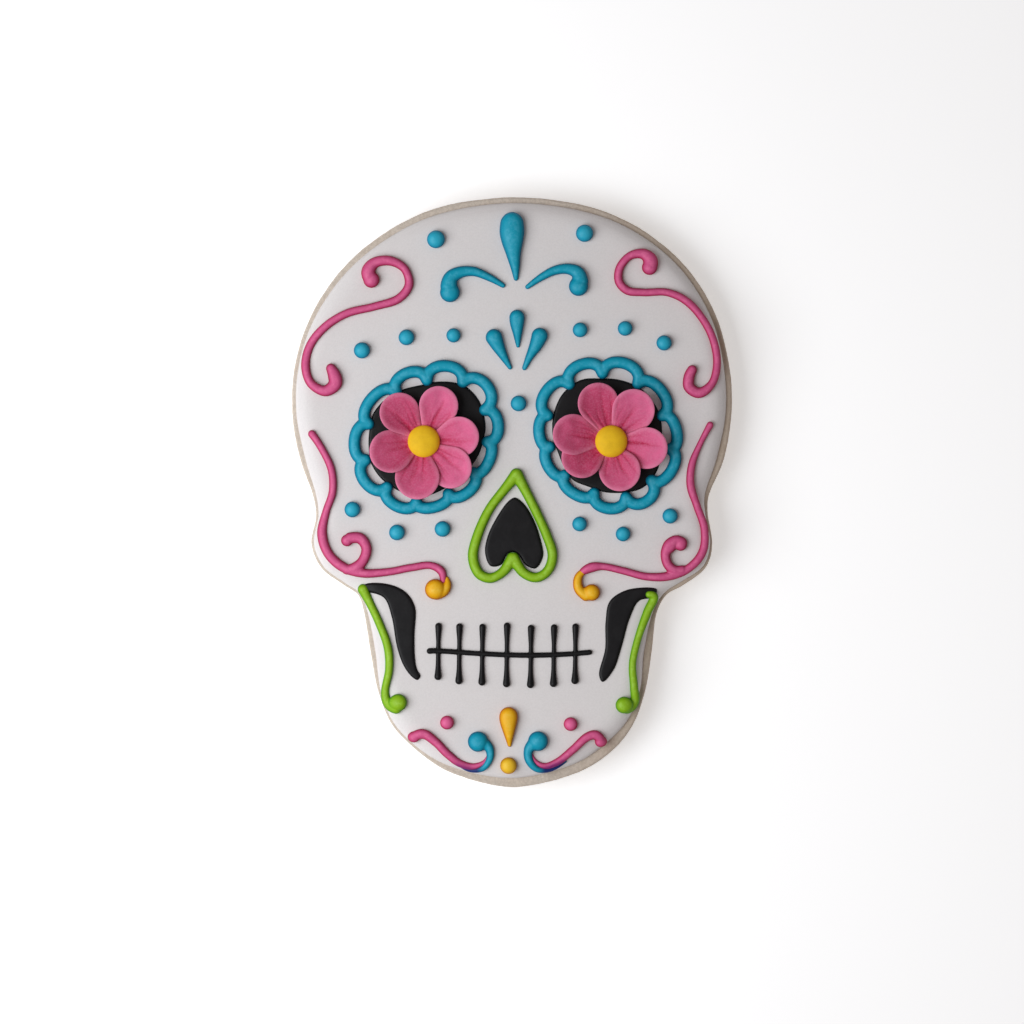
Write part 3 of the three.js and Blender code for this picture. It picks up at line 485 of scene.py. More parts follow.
class StageSettings(PropertyGroup):
    """The floor, the lights and the camera."""

    camera_height: FloatProperty(
        name="Camera Height", description="Height of the camera above the icing", default=0.9, unit="LENGTH",
    )
    frame_width: length("Frame Width", "Width that the picture takes in at the icing's height", 204.8)
    frame_drop: length("Frame Drop", "How far the picture's middle lies below the cookie's", 4.0)
    key_power: FloatProperty(name="Key", description="Power of the soft light on the left", default=1.25)
    sky: FloatProperty(name="Sky", description="Strength of the even light from all round", default=0.22)
    floor_glow: FloatProperty(
        name="Floor Glow", description="Light that the floor adds of its own", default=0.42,
    )
    floor: colour("Floor", "The plain floor", (0.9, 0.9, 0.9))


# ---------------------------------------------------------------- node trees


class Value:
    """A socket of a node tree that takes part in sums."""

    def __init__(self, recipe, socket):
        self.recipe = recipe
        self.socket = socket

    def _sum(self, operation, first, second):
        return self.recipe.node("ShaderNodeMath", {"operation": operation}, {0: first, 1: second})

    def __add__(self, other):
        return self._sum("ADD", self, other)

    def __sub__(self, other):
        return self._sum("SUBTRACT", self, other)

    def __mul__(self, other):
        return self._sum("MULTIPLY", self, other)

    def __rsub__(self, other):
        return self._sum("SUBTRACT", other, self)

    def __pow__(self, other):
        return self._sum("POWER", self, other)

    __radd__ = __add__
    __rmul__ = __mul__

    def at_least(self, other):
        return self._sum("MAXIMUM", self, other)

    def ramp(self, low, high):
        """0 where the value is low or less, 1 where it is high or more, smooth between."""
        return self.recipe.node(
            "ShaderNodeMapRange",
            {"interpolation_type": "SMOOTHSTEP"},
            {"Value": self, "From Min": low, "From Max": high},
        )


class Recipe:
    """A node tree under construction."""

    def __init__(self, tree):
        self.tree = tree

    def node(self, kind, settings=None, sockets=None, output=0):
        """Adds a node, with its settings first and then its sockets' values or links, and gives an output."""
        made = self.tree.nodes.new(kind)
        for name, setting in (settings or {}).items():
            setattr(made, name, setting)
        for key, value in (sockets or {}).items():
            if isinstance(value, Value):
                self.tree.links.new(value.socket, made.inputs[key])
            else:
                made.inputs[key].default_value = value
        return Value(self, made.outputs[output]) if len(made.outputs) else made


class Finish(Recipe):
    """A material under construction, on the principled shader."""

    def __init__(self, name):
        material = bpy.data.materials.new(name)
        material.use_nodes = True
        super().__init__(material.node_tree)
        self.material = material
        self.shader = self.tree.nodes["Principled BSDF"]
        self.place = self.node("ShaderNodeTexCoord", output="Object")

    def noise(self, size, detail=2.0, roughness=0.5, place=None):
        """Cloudy noise whose blots are about size millimetres across."""
        return self.node(
            "ShaderNodeTexNoise",
            {},
            {
                "Vector": place or self.place,
                "Scale": 1 / (size * MM),
                "Detail": detail,
                "Roughness": roughness,
            },
        )

    def mix(self, factor, first, second):
        """A blend of two colours."""
        sockets = {0: factor, 6: first, 7: second}
        return self.node("ShaderNodeMix", {"data_type": "RGBA"}, sockets, output=2)

    def dimmed(self, tone, factor):
        """A colour made darker by a factor."""
        sockets = {0: 1.0, 6: tone, 7: (factor, factor, factor, 1.0)}
        return self.node("ShaderNodeMix", {"data_type": "RGBA", "blend_type": "MULTIPLY"}, sockets, output=2)

    def axis(self, letter):
        """The x, y or z of the place on the cookie, in metres."""
        return self.node("ShaderNodeSeparateXYZ", {}, {0: self.place}, output=letter)

    def carried(self, name):
        """A number that the mesh carries at each point."""
        return self.node("ShaderNodeAttribute", {"attribute_name": name}, output="Fac")

    def facing(self):
        """How far the surface faces up: 1 on the level, 0 on an upright flank."""
        normal = self.node("ShaderNodeTexCoord", output="Normal")
        return self.node("ShaderNodeSeparateXYZ", {}, {0: normal}, output="Z")

    def bump(self, height, depth, normal=None):
        """A normal that dents the surface by up to depth millimetres."""
        sockets = {"Height": height, "Distance": depth * MM, "Strength": 1.0}
        if normal:
            sockets["Normal"] = normal
        return self.node("ShaderNodeBump", {}, sockets)

    def set(self, **sockets):
        """Sets or links the shader's sockets, whose names are written with underscores."""
        for name, value in sockets.items():
            socket = self.shader.inputs[name.replace("_", " ")]
            if isinstance(value, Value):
                self.tree.links.new(value.socket, socket)
            else:
                socket.default_value = value
        return self.material


def shade(rgb, factor):
    """A colour made darker or lighter, with alpha."""
    return (*(min(1.0, channel * factor) for channel in rgb), 1.0)


def paled(rgb, whitening=0.02):
    """A colour made paler, with some white added: the dots' paler colour, and the painted sheen on crests."""
    return shade([channel * 1.16 + whitening for channel in rgb], 1.0)


def royal_icing(name, rgb, roughness=0.5, flank=0.34, specular=0.24, crest_sheen=0.0, patch=1.0, stain=None):
    """Dried royal icing: satin, with a fine sugar grain and slow ripples, and painted shade on its flanks.

    flank is how dark and saturated the painted shade makes the colour where the surface turns from level.
    crest_sheen is how much a patchy painted sheen, a paler colour, shows on the level crests, and patch is
    the size of its patches in millimetres. stain gives the colour that has run into it and a function that
    makes its mask.
    """
    finish = Finish(name)
    blots = finish.noise(4.0, 3.0, 0.55)
    specks = finish.noise(0.3, 2.0, 0.6)
    facing = finish.facing().ramp(0.38, 1.0)
    # Painted shade: the flanks' colour is darker and more saturated where the surface turns from level.
    deep = (*(channel * flank ** (0.4 + 1.6 * (1 - channel / max(rgb)) ** 2) for channel in rgb), 1.0)
    tone = finish.mix(facing, deep, shade(rgb, 1.0))
    if crest_sheen:
        # Painted sheen: a paler colour mixed in patches onto the level crests.
        crest = finish.facing().ramp(0.84, 1.0)
        patches = finish.noise(patch, 3.0, 0.65).ramp(0.42, 0.66)
        tone = finish.mix((patches * 0.75 + 0.25) * crest * crest_sheen, tone, paled(rgb, 0.07))
    if stain:
        colour_run_in, mask = stain
        tone = finish.mix(mask(finish), tone, shade(colour_run_in, 1.0))
    base = finish.mix(specks.ramp(0.3, 0.7), finish.dimmed(tone, 0.95), tone)
    grain = finish.bump(specks, 0.012)
    normal = finish.bump(finish.noise(1.3, 2.0), 0.02, grain)
    return finish.set(
        Base_Color=base,
        Roughness=blots * 0.1 + specks * 0.1 + (1 - facing) * 0.25 + (roughness - 0.1),
        Normal=normal,
        Specular_IOR_Level=specular,
    )


def from_middle(finish):
    """Distance to either side of the chin's middle."""
    x = finish.axis("X") + 0.2 * MM
    return (x * x) ** 0.5


def under_pink(finish):
    """Where the turquoise curls run out under the pink scrolls."""
    low = (finish.axis("Y") * -1).ramp(53.0 * MM, 54.6 * MM)
    return low * from_middle(finish).ramp(5.2 * MM, 7.0 * MM)


def over_turquoise(finish):
    """The lower flank of the pink scrolls, where they lie on the turquoise curls."""
    x = finish.axis("X") + 1.1 * MM
    y = finish.axis("Y") + 30.0 * MM
    streaks = finish.noise(1.0, 2.0) * 0.8 * MM
    reach = (x * x + y * y) ** 0.5 + streaks
    side = from_middle(finish)
    return reach.ramp(25.9 * MM, 27.0 * MM) * (1 - side.ramp(9.5 * MM, 12.5 * MM)) * 0.9


def sugar_paste(name, rgb):
    """Rolled sugar paste: matte and powdery."""
    finish = Finish(name)
    powder = finish.noise(0.22, 3.0, 0.6)
    blots = finish.noise(1.6, 3.0, 0.6)
    tone = finish.mix(blots.ramp(0.3, 0.7), shade(rgb, 0.93), shade(rgb, 1.04))
    base = finish.mix(powder.ramp(0.4, 0.75) * 0.3, tone, shade(rgb, 1.25))
    normal = finish.bump(powder, 0.025)
    return finish.set(
        Base_Color=base,
        Roughness=powder * 0.15 + 0.6,
        Normal=normal,
        Specular_IOR_Level=0.25,
    )


def petal_paste(name, flowers):
    """Sugar paste of a petal: crimson painted shade at the root, along its creases and over some whole
    petals; powdery specks, and a pale painted highlight at the rim.
    """
    finish = Finish(name)
    powder = finish.noise(0.32, 3.0, 0.7)
    blots = finish.noise(1.4, 3.0, 0.6)
    blush = finish.carried("blush")
    rim = finish.carried("rim")
    crease = finish.carried("crease")
    deep = shade(flowers.petal_root, 1.0)
    tone = finish.mix(blots.ramp(0.3, 0.7), shade(flowers.petal, 0.94), shade(flowers.petal, 1.05))
    # Painted shade: crimson spreading from the root, and over whole petals by the amount each carries.
    tone = finish.mix(blush, tone, deep)
    # Painted shade: crimson in the creases.
    tone = finish.mix(crease, tone, deep)
    # Painted highlight: a pale, powdery colour on the rounded rims.
    tone = finish.mix(rim * (powder * 0.5 + 0.3), tone, shade(flowers.petal_rim, 1.0))
    base = finish.mix(powder.ramp(0.42, 0.66) * 0.24, tone, shade(flowers.petal_rim, 1.0))
    return finish.set(
        Base_Color=base,
        Roughness=powder * 0.15 + 0.62,
        Normal=finish.bump(powder, 0.03),
        Specular_IOR_Level=0.2,
    )


def baked_dough(name, settings):
    """Baked dough: pale crumb, browner along its edges and underneath, with fine pores, and painted shade
    that darkens it towards the right, away from the key light.
    """
    finish = Finish(name)
    height = finish.axis("Z")
    blots = finish.noise(5.0, 4.0, 0.6)
    pores = finish.noise(0.45, 3.0, 0.65)
    top = height.ramp((BISCUIT_TOP - 1.6) * MM, BISCUIT_TOP * MM)
    foot = 1 - height.ramp(0.0, 1.8 * MM)
    # Painted shade: the dough darkens towards the right side, away from the key light.
    side = finish.axis("X").ramp(0.0, 38.0 * MM) * 0.3
    browning_and_shade = (top * 0.3 + foot * 0.8 + blots * 0.5 + side - 0.2).at_least(0.0)
    crumb = finish.mix(pores.ramp(0.35, 0.65), shade(settings.crumb, 0.86), shade(settings.crumb, 1.1))
    base = finish.mix(browning_and_shade, crumb, shade(settings.crust_and_shade, 1.0))
    grain = finish.bump(pores, 0.12)
    normal = finish.bump(finish.noise(2.2, 3.0), 0.15, grain)
    return finish.set(Base_Color=base, Roughness=pores * 0.2 + 0.68, Normal=normal, Specular_IOR_Level=0.3)


def finish_for(finish):
    """The material of a finish, made once.

    A finish is a slot's name, with chin_ before it where colours have run together and dot_ for the paler
    dots.
    """
    name = finish + "_finish"
    made = bpy.data.materials.get(name)
    if made:
        return made
    scene = bpy.context.scene
    icing, piping, flowers = scene.cookie_icing, scene.cookie_piping, scene.cookie_flowers
    if finish == "biscuit":
        return baked_dough(name, scene.cookie_biscuit)
    if finish == "white_icing":
        return royal_icing(name, icing.white, roughness=0.5, flank=0.9, specular=0.35)
    # Black panels: painted shade on their rounded edges and a faint patchy painted sheen on their tops.
    if finish == "black_icing":
        return royal_icing(name, icing.black, roughness=0.46, flank=0.3, crest_sheen=0.06, patch=2.6)
    if finish == "pink_sugar_paste":
        return petal_paste(name, flowers)
    if finish == "yellow_sugar_paste":
        return sugar_paste(name, flowers.button)
    stains = {
        "chin_turquoise_icing": (piping.navy, under_pink),
        "chin_pink_icing": (piping.plum, over_turquoise),
    }
    colour_of_slot = getattr(piping, finish.removeprefix("chin_").removeprefix("dot_").split("_")[0])
    if finish.startswith("dot_"):
        pale = paled(colour_of_slot)[:3]
        return royal_icing(name, pale, roughness=0.42, flank=0.24, crest_sheen=0.4, patch=2.4)
    stain = stains.get(finish)
    return royal_icing(name, colour_of_slot, roughness=0.4, flank=0.22, specular=0.2, crest_sheen=0.75, stain=stain)


# ---------------------------------------------------------------- curves and outlines


def smooth_path(knots, steps, closed=False):
    """Points of a centripetal Catmull-Rom curve through knots of two or three numbers."""
    points = [Vector(knot) for knot in knots]
    count = len(points)
    if not closed:
        before, after = (2.5 * a - 2 * b + 0.5 * c for a, b, c in (points[:3], points[:-4:-1]))
        points = [before, *points, after]
    path = []
    for i in range(count if closed else count - 1):
        if closed:
            p0, p1, p2, p3 = (points[(i + k) % count] for k in (-1, 0, 1, 2))
        else:
            p0, p1, p2, p3 = points[i : i + 4]
        t1 = math.sqrt((p1 - p0).length)
        t2 = t1 + math.sqrt((p2 - p1).length)
        t3 = t2 + math.sqrt((p3 - p2).length)
        for step in range(steps):
            t = t1 + (t2 - t1) * step / steps
            a1 = p0.lerp(p1, t / t1)
            a2 = p1.lerp(p2, (t - t1) / (t2 - t1))
            a3 = p2.lerp(p3, (t - t2) / (t3 - t2))
            b1 = a1.lerp(a2, t / t2)
            b2 = a2.lerp(a3, (t - t1) / (t3 - t1))
            path.append(b1.lerp(b2, (t - t1) / (t2 - t1)))
    if not closed:
        path.append(points[-2])
    return path


def spaced(path, gap):
    """The path's points at even distances, about gap apart, measured in x and y."""
    marks = [0.0]
    for a, b in zip(path, path[1:]):
        marks.append(marks[-1] + (b.xy - a.xy).length)
    count = max(2, round(marks[-1] / gap))
    result, i = [], 0
    for k in range(count + 1):
        mark = marks[-1] * k / count
        while i < len(path) - 2 and marks[i + 1] < mark:
            i += 1
        share = (mark - marks[i]) / max(marks[i + 1] - marks[i], 1e-9)
        result.append(path[i].lerp(path[i + 1], min(share, 1.0)))
    return result


def evened(loop, gap):
    """A closed outline's points at even distances."""
    return spaced([*loop, loop[0]], gap)[:-1]


def moved_in(outline, inset):
    """An anticlockwise outline moved inwards by a distance, or by what a function gives for each point."""
    result = []
    for i, point in enumerate(outline):
        along = (outline[(i + 1) % len(outline)].xy - outline[i - 1].xy).normalized()
        distance = inset(point) if callable(inset) else inset
        result.append(Vector((point.x - along.y * distance, point.y + along.x * distance)))
    return result


def circle(x, y, radius, count):
    """An anticlockwise circle."""
    turns = (2 * math.pi * i / count for i in range(count))
    return [Vector((x + radius * math.cos(turn), y + radius * math.sin(turn))) for turn in turns]


def crossings(loop, y):
    """The places where an outline crosses a level, from left to right."""
    found = []
    for i, b in enumerate(loop):
        a = loop[i - 1]
        if (a.y > y) != (b.y > y):
            found.append((b.x - a.x) * (y - a.y) / (b.y - a.y) + a.x)
    return sorted(found)


class Shore:
    """Measures how far a point lies from an outline."""

    def __init__(self, outline, gap=0.12):
        points = evened(outline, gap)
        self.tree = KDTree(len(points))
        for i, point in enumerate(points):
            self.tree.insert((point.x, point.y, 0), i)
        self.tree.balance()

    def distance(self, x, y):
        """The shortest way from a point to the outline, in millimetres."""
        return self.tree.find((x, y, 0))[2]


skull_knots = [CROWN, *((-left, y, rim) for y, left, _, rim, _ in SKULL_ROWS), CHIN]
skull_knots += [(right, y, rim) for y, _, right, _, rim in reversed(SKULL_ROWS)]
biscuit_outline = smooth_path(skull_knots, 40, closed=True)
icing_outline = moved_in(biscuit_outline, lambda point: point.z)
icing_shore = Shore(icing_outline)


# The white icing's shoulder, as the powers of its curve, and the crease inside its edge, as place and width.
SHOULDER_FALL = 3
SHOULDER_ROUNDNESS = 1.8
CREASE_INSET = 1.15
CREASE_WIDTH = 0.28


def icing_rise(distance):
    """Height of the white icing above the biscuit, at a distance in from its edge."""
    icing = bpy.context.scene.cookie_icing
    shoulder = icing.shoulder / MM
    outward = 1 - min(distance, shoulder) / shoulder
    rise = icing.thickness / MM * (1 - outward**SHOULDER_FALL) ** (1 / SHOULDER_ROUNDNESS)
    return rise - icing.crease / MM * math.exp(-(((distance - CREASE_INSET) / CREASE_WIDTH) ** 2))


def icing_top(x, y, distance=None):
    """Height of the white icing's surface, in millimetres."""
    wave = bpy.context.scene.cookie_icing.wave / MM
    if distance is None:
        distance = icing_shore.distance(x, y)
    ripple = noise.noise((x / 11, y / 11, 3.7)) + 0.5 * noise.noise((x / 4.5, y / 4.5, 9.1))
    return BISCUIT_TOP + icing_rise(distance) + wave * min(distance / 3, 1) * ripple


# ---------------------------------------------------------------- meshes


def add_piece(name, mesh, slot, *nodes, finish=None):
    """Adds a finished piece that rides with the cookie and stands for the named solids."""
    piece = bpy.data.objects.new(name, mesh)
    bpy.context.collection.objects.link(piece)
    mesh.materials.clear()
    mesh.materials.append(finish_for(finish or slot))
    mesh.shade_smooth()
    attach(piece, "root")
    if nodes:
        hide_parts(*nodes)
    return piece


def merged(mesh):
    """The mesh with its doubled points joined and its faces turned outwards."""
    build = bmesh.new()
    build.from_mesh(mesh)
    bmesh.ops.remove_doubles(build, verts=build.verts, dist=1e-7)
    bmesh.ops.recalc_face_normals(build, faces=build.faces)
    build.to_mesh(mesh)
    build.free()
    return mesh


def carry(mesh, name, numbers):
    """Stores a number at each point of a mesh, for its finish to read."""
    mesh.attributes.new(name, "FLOAT", "POINT").data.foreach_set("value", numbers)


def mesh_from(name, points, faces):
    """A mesh from points in millimetres, with its faces turned outwards."""
    mesh = bpy.data.meshes.new(name)
    mesh.from_pydata([Vector(point) * MM for point in points], [], faces)
    return merged(mesh)


def honeycomb(outline, pitch):
    """Points of a honeycomb inside an outline."""
    lowest, highest = min(p.y for p in outline), max(p.y for p in outline)
    row_gap = pitch * math.sqrt(3) / 2
    for row in range(1, int((highest - lowest) / row_gap) + 1):
        y = lowest + row * row_gap
        level = crossings(outline, y)
        for left, right in zip(level[::2], level[1::2]):
            first = math.ceil(left / pitch - row % 2 / 2)
            last = math.floor(right / pitch - row % 2 / 2)
            for column in range(first, last + 1):
                yield Vector(((column + row % 2 / 2) * pitch, y))


def triangles_of(points, count):
    """Triangles over points whose first ones, in order, are the outline."""
    found = delaunay_2d_cdt(points, [], [list(range(count))], 1, 1e-7)
    return [[found[3][i][0] for i in face] for face in found[2]]


def pool(name, outline, rows, pitch, top, bottom, plain_base=True):
    """A closed mesh with a shaped top over an anticlockwise outline.

    rows are the distances in from the edge at which lines of points follow it, and pitch spaces the points
    inside them. top and bottom give heights from x, y and the distance in. A plain base has no points but
    the outline's.
    """
    shore = Shore(outline, 0.06)
    spread = [(point.xy, 0.0) for point in outline]
    for row in rows[1:]:
        loop = ((p, shore.distance(p.x, p.y)) for p in moved_in(outline, row))
        spread += [(p, distance) for p, distance in loop if distance > row * 0.97 - 0.002]
    inner = ((p, shore.distance(p.x, p.y)) for p in honeycomb(outline, pitch))
    spread += [(p, distance) for p, distance in inner if distance > rows[-1] + pitch * 0.5]
    count = len(outline)
    flat = [p for p, _ in spread]
    over = triangles_of(flat, count)
    under = triangles_of(flat[:count], count) if plain_base else over
    below = spread[:count] if plain_base else spread
    points = [(p.x, p.y, top(p.x, p.y, distance)) for p, distance in spread]
    points += [(p.x, p.y, bottom(p.x, p.y, distance)) for p, distance in below]
    foot = len(spread)
    faces = [*over, *([foot + i for i in reversed(face)] for face in under)]
    faces += [(i, (i + 1) % count, foot + (i + 1) % count, foot + i) for i in range(count)]
    return mesh_from(name, points, faces)


# ---------------------------------------------------------------- piping by geometry nodes


def attribute(recipe, name):
    """A number that the guide's points carry."""
    return recipe.node("GeometryNodeInputNamedAttribute", {"data_type": "FLOAT"}, {"Name": name})


def settled(recipe, mesh, given):
    """Wobbles piped icing a little, squashes it about its middle and flattens its foot."""
    place = recipe.node("GeometryNodeInputPosition")
    axes = {axis: recipe.node("ShaderNodeSeparateXYZ", {}, {0: place}, output=axis) for axis in "XYZ"}
    middle = attribute(recipe, "middle")
    height = (axes["Z"] - middle) * attribute(recipe, "squash") + middle
    height = height.at_least(attribute(recipe, "base") - given("Foot"))
    resting = recipe.node("ShaderNodeCombineXYZ", {}, {0: axes["X"], 1: axes["Y"], 2: height})
    wobble = recipe.node(
        "ShaderNodeTexNoise",
        {"noise_dimensions": "4D"},
        {"Vector": place, "W": given("Seed"), "Scale": given("Wobble Scale"), "Detail": 1.0},
    )
    outward = recipe.node("GeometryNodeInputNormal")
    push = recipe.node(
        "ShaderNodeVectorMath",
        {"operation": "SCALE"},
        {0: outward, "Scale": (wobble - 0.5) * given("Unevenness")},
    )
    places = {"Geometry": mesh, "Position": resting, "Offset": push}
    moved = recipe.node("GeometryNodeSetPosition", {}, places)
    smooth = recipe.node("GeometryNodeSetShadeSmooth", {}, {"Geometry": moved})
    finished = {"Geometry": smooth, "Material": given("Material")}
    coloured = recipe.node("GeometryNodeSetMaterial", {}, finished)
    real = recipe.node("GeometryNodeRealizeInstances", {}, {"Geometry": coloured})
    recipe.node("NodeGroupOutput", {}, {0: real})


PIPING_INPUTS = {
    "Guide": "NodeSocketGeometry",
    "Sides": "NodeSocketInt",
    "Foot": "NodeSocketFloat",
    "Unevenness": "NodeSocketFloat",
    "Wobble Scale": "NodeSocketFloat",
    "Seed": "NodeSocketInt",
    "Material": "NodeSocketMaterial",
}


def piping_tree(name, shape):
    """A geometry tree with named inputs that pipes icing on a guide, in the shape that a function makes."""
    tree = bpy.data.node_groups.get(name)
    if tree:
        return tree
    tree = bpy.data.node_groups.new(name, "GeometryNodeTree")
    for label, kind in PIPING_INPUTS.items():
        tree.interface.new_socket(label, in_out="INPUT", socket_type=kind)
    tree.interface.new_socket("Geometry", in_out="OUTPUT", socket_type="NodeSocketGeometry")
    recipe = Recipe(tree)
    inputs = tree.nodes.new("NodeGroupInput")

    def given(label):
        return Value(recipe, inputs.outputs[label])

    settled(recipe, shape(recipe, given), given)
    return tree


def swept_bead(recipe, given):
    """A round bead along each chain of guide points, as wide as each point says."""
    line = recipe.node("GeometryNodeMeshToCurve", {}, {"Mesh": given("Guide")})
    upright = recipe.node("GeometryNodeSetCurveNormal", {"mode": "Z_UP"}, {"Curve": line})
    round_section = {"Resolution": given("Sides"), "Radius": 1.0}
    section = recipe.node("GeometryNodeCurvePrimitiveCircle", {}, round_section)
    return recipe.node(
        "GeometryNodeCurveToMesh",
        {},
        {"Curve": upright, "Profile Curve": section, "Scale": attribute(recipe, "radius"), "Fill Caps": True},
    )


def squeezed_dots(recipe, given):
    """A round dot on each guide point, as wide as the point says."""
    round_ball = {"Segments": given("Sides"), "Rings": given("Sides"), "Radius": 1.0}
    ball = recipe.node("GeometryNodeMeshUVSphere", {}, round_ball)
    squeezed = recipe.node(
        "GeometryNodeInstanceOnPoints",
        {},
        {"Points": given("Guide"), "Instance": ball, "Scale": attribute(recipe, "radius")},
    )
    return recipe.node("GeometryNodeRealizeInstances", {}, {"Geometry": squeezed})


def bead_tree():
    return piping_tree("Piped Bead", swept_bead)


def dot_tree():
    return piping_tree("Piped Dots", squeezed_dots)


GUIDE_VALUES = ("radius", "middle", "squash", "base")
WOBBLE_SCALE = 380.0


def bead_height(radius):
    """Half the height of a bead of a radius, in millimetres."""
    piping = bpy.context.scene.cookie_piping
    thin = piping.thin_bead / MM
    return min(radius, thin) + max(0.0, radius - thin) * piping.wide_rise


def guide_point(x, y, radius, full_radius):
    """A guide point: its place and the values that it carries."""
    base = icing_top(x, y)
    height = bead_height(full_radius)
    middle = base + bpy.context.scene.cookie_piping.lift * height
    return (x, y, middle), (radius, middle, height / full_radius, base)


def scallop_knots(cusp, following, radius):
    """Knots of one scallop: a round arc from its cusp to the following one."""
    x, y, bulge = cusp
    chord = Vector(following[:2]) - Vector((x, y))
    outward = Vector((-chord.y, chord.x)).normalized()
    knots = []
    for step in range(SCALLOP_STEPS + 1):
        turn = math.pi * step / SCALLOP_STEPS
        place = Vector((x, y)) + chord * (1 - math.cos(turn)) / 2
        place += outward * bulge * math.sin(turn) ** SCALLOP_ROUNDNESS
        knots.append((place.x, place.y, radius))
    return knots


def bead_guide(knots, gap=0.22):
    """Guide points of a stroke, with a round end before its first knot and after its last."""
    path = spaced(smooth_path(knots, 24), gap)
    chain = [guide_point(p.x, p.y, p.z, p.z) for p in path]
    turns = [math.radians(degrees) for degrees in (12, 24, 36, 48, 60, 72, 82, 88)]
    for end, beside in ((path[0], path[1]), (path[-1], path[-2])):
        away = (end.xy - beside.xy).normalized() * end.z
        cap = []
        for turn in turns:
            place = end.xy + away * math.sin(turn)
            cap.append(guide_point(place.x, place.y, end.z * math.cos(turn), end.z))
        chain = [*reversed(cap), *chain] if end is path[0] else [*chain, *cap]
    return chain


def bulb_guide(x, y, radius):
    """Guide points of a round bulb."""
    turns = [math.radians(degrees) for degrees in range(-88, 89, 8)]
    return [guide_point(x + radius * math.sin(t), y, radius * math.cos(t), radius) for t in turns]


def piped(name, tree, chains, finish, seed, grain=1.0):
    """The plain mesh of a piping tree on chains of guide points, with touching strokes run together."""
    piping = bpy.context.scene.cookie_piping
    points = [point for chain in chains for point in chain]
    guide = bpy.data.meshes.new(name)
    edges, first = [], 0
    for chain in chains:
        edges += [(first + i, first + i + 1) for i in range(len(chain) - 1)]
        first += len(chain)
    guide.from_pydata([Vector(place) * MM for place, _ in points], edges, [])
    for k, value in enumerate(GUIDE_VALUES):
        scale = 1.0 if value == "squash" else MM
        stored = guide.attributes.new(value, "FLOAT", "POINT")
        stored.data.foreach_set("value", [values[k] * scale for _, values in points])
    holder = bpy.data.objects.new(name + "_guide", guide)
    bpy.context.collection.objects.link(holder)
    modifier = holder.modifiers.new("Piping", "NODES")
    modifier.node_group = tree
    values = {
        "Sides": piping.sides,
        "Foot": piping.foot,
        "Unevenness": piping.unevenness,
        "Wobble Scale": WOBBLE_SCALE,
        "Seed": seed,
        "Material": finish_for(finish),
    }
    for item in tree.interface.items_tree:
        if item.name in values:
            modifier[item.identifier] = values[item.name]
    joined = holder.modifiers.new("Joined", "REMESH")
    joined.mode = "VOXEL"
    joined.voxel_size = piping.voxel * grain
    joined.use_smooth_shade = True
    smoothed = holder.modifiers.new("Blended", "SMOOTH")
    smoothed.factor = 0.5
    smoothed.iterations = piping.blend
    depsgraph = bpy.context.evaluated_depsgraph_get()
    mesh = bpy.data.meshes.new_from_object(holder.evaluated_get(depsgraph), depsgraph=depsgraph)
    bpy.data.objects.remove(holder)
    for value in GUIDE_VALUES:
        if value in mesh.attributes:
            mesh.attributes.remove(mesh.attributes[value])
    if not mesh.polygons:
        raise RuntimeError(f"the tree made no faces for {name}")
    return merged(mesh)


# ---------------------------------------------------------------- operators


class COOKIE_OT_biscuit(Operator):
    """Bake the biscuit: the rolled and cut dough under the icing"""

    bl_idname = "cookie.biscuit"
    bl_label = "Biscuit"

    def execute(self, context):
        settings = context.scene.cookie_biscuit
        radius = settings.edge_radius / MM
        outline = evened(biscuit_outline, 0.4)
        corner = [math.radians(degrees) for degrees in range(0, 91, 15)]
        rows = [(radius * 1.5 * (1 - math.sin(t)), radius * 1.5 * (1 - math.cos(t))) for t in corner]
        rows += [(0.0, height) for height in (1.4, 2.1, 2.8, 3.5, 4.2, 4.9, 5.6)]
        rows += [
            (radius * (1 - math.cos(t)), BISCUIT_TOP - radius * (1 - math.sin(t))) for t in corner
        ]
        rows += [(1.1, BISCUIT_TOP), (1.8, BISCUIT_TOP), (2.8, BISCUIT_TOP)]
        points, faces = [], []
        count = len(outline)
        for inset, z in rows:
            flat = z in (0.0, BISCUIT_TOP)
            for p in moved_in(outline, inset):
                wander = noise.noise((p.x / 5, p.y / 5, z / 4)) + 0.4 * noise.noise((p.x, p.y, z))
                push = 0.0 if flat and inset > 1 else wander * settings.unevenness / MM
                outward = p.normalized() * push
                points.append((p.x + outward.x, p.y + outward.y, z))
        for row in range(len(rows) - 1):
            for i in range(count):
                a, b = row * count + i, row * count + (i + 1) % count
                faces.append((a, b, b + count, a + count))
        for row in (0, len(rows) - 1):
            loop = [Vector(point[:2]) for point in points[row * count : (row + 1) * count]]
            faces += [[row * count + i for i in face] for face in triangles_of(loop, count)]
        add_piece("baked_biscuit", mesh_from("baked_biscuit", points, faces), "biscuit", "biscuit")
        return {"FINISHED"}


class COOKIE_OT_white_icing(Operator):
    """Flood the biscuit with white icing"""

    bl_idname = "cookie.white_icing"
    bl_label = "White Icing"

    def execute(self, context):
        shoulder = context.scene.cookie_icing.shoulder / MM
        heights = (0, 0.06, 0.12, 0.19, 0.26, 0.33, 0.4, 0.47, 0.54, 0.61, 0.68, 0.74, 0.8, 0.86, 0.91)
        outward = [(1 - height**SHOULDER_ROUNDNESS) ** (1 / SHOULDER_FALL) for height in heights]
        rows = [shoulder * (1 - out) for out in outward]
        mesh = pool(
            "flooded_icing", evened(icing_outline, 0.4), rows, 0.6, icing_top,
            lambda x, y, distance: BISCUIT_TOP - 0.05,
        )
        add_piece("flooded_icing", mesh, "white_icing", "white_icing")
        return {"FINISHED"}


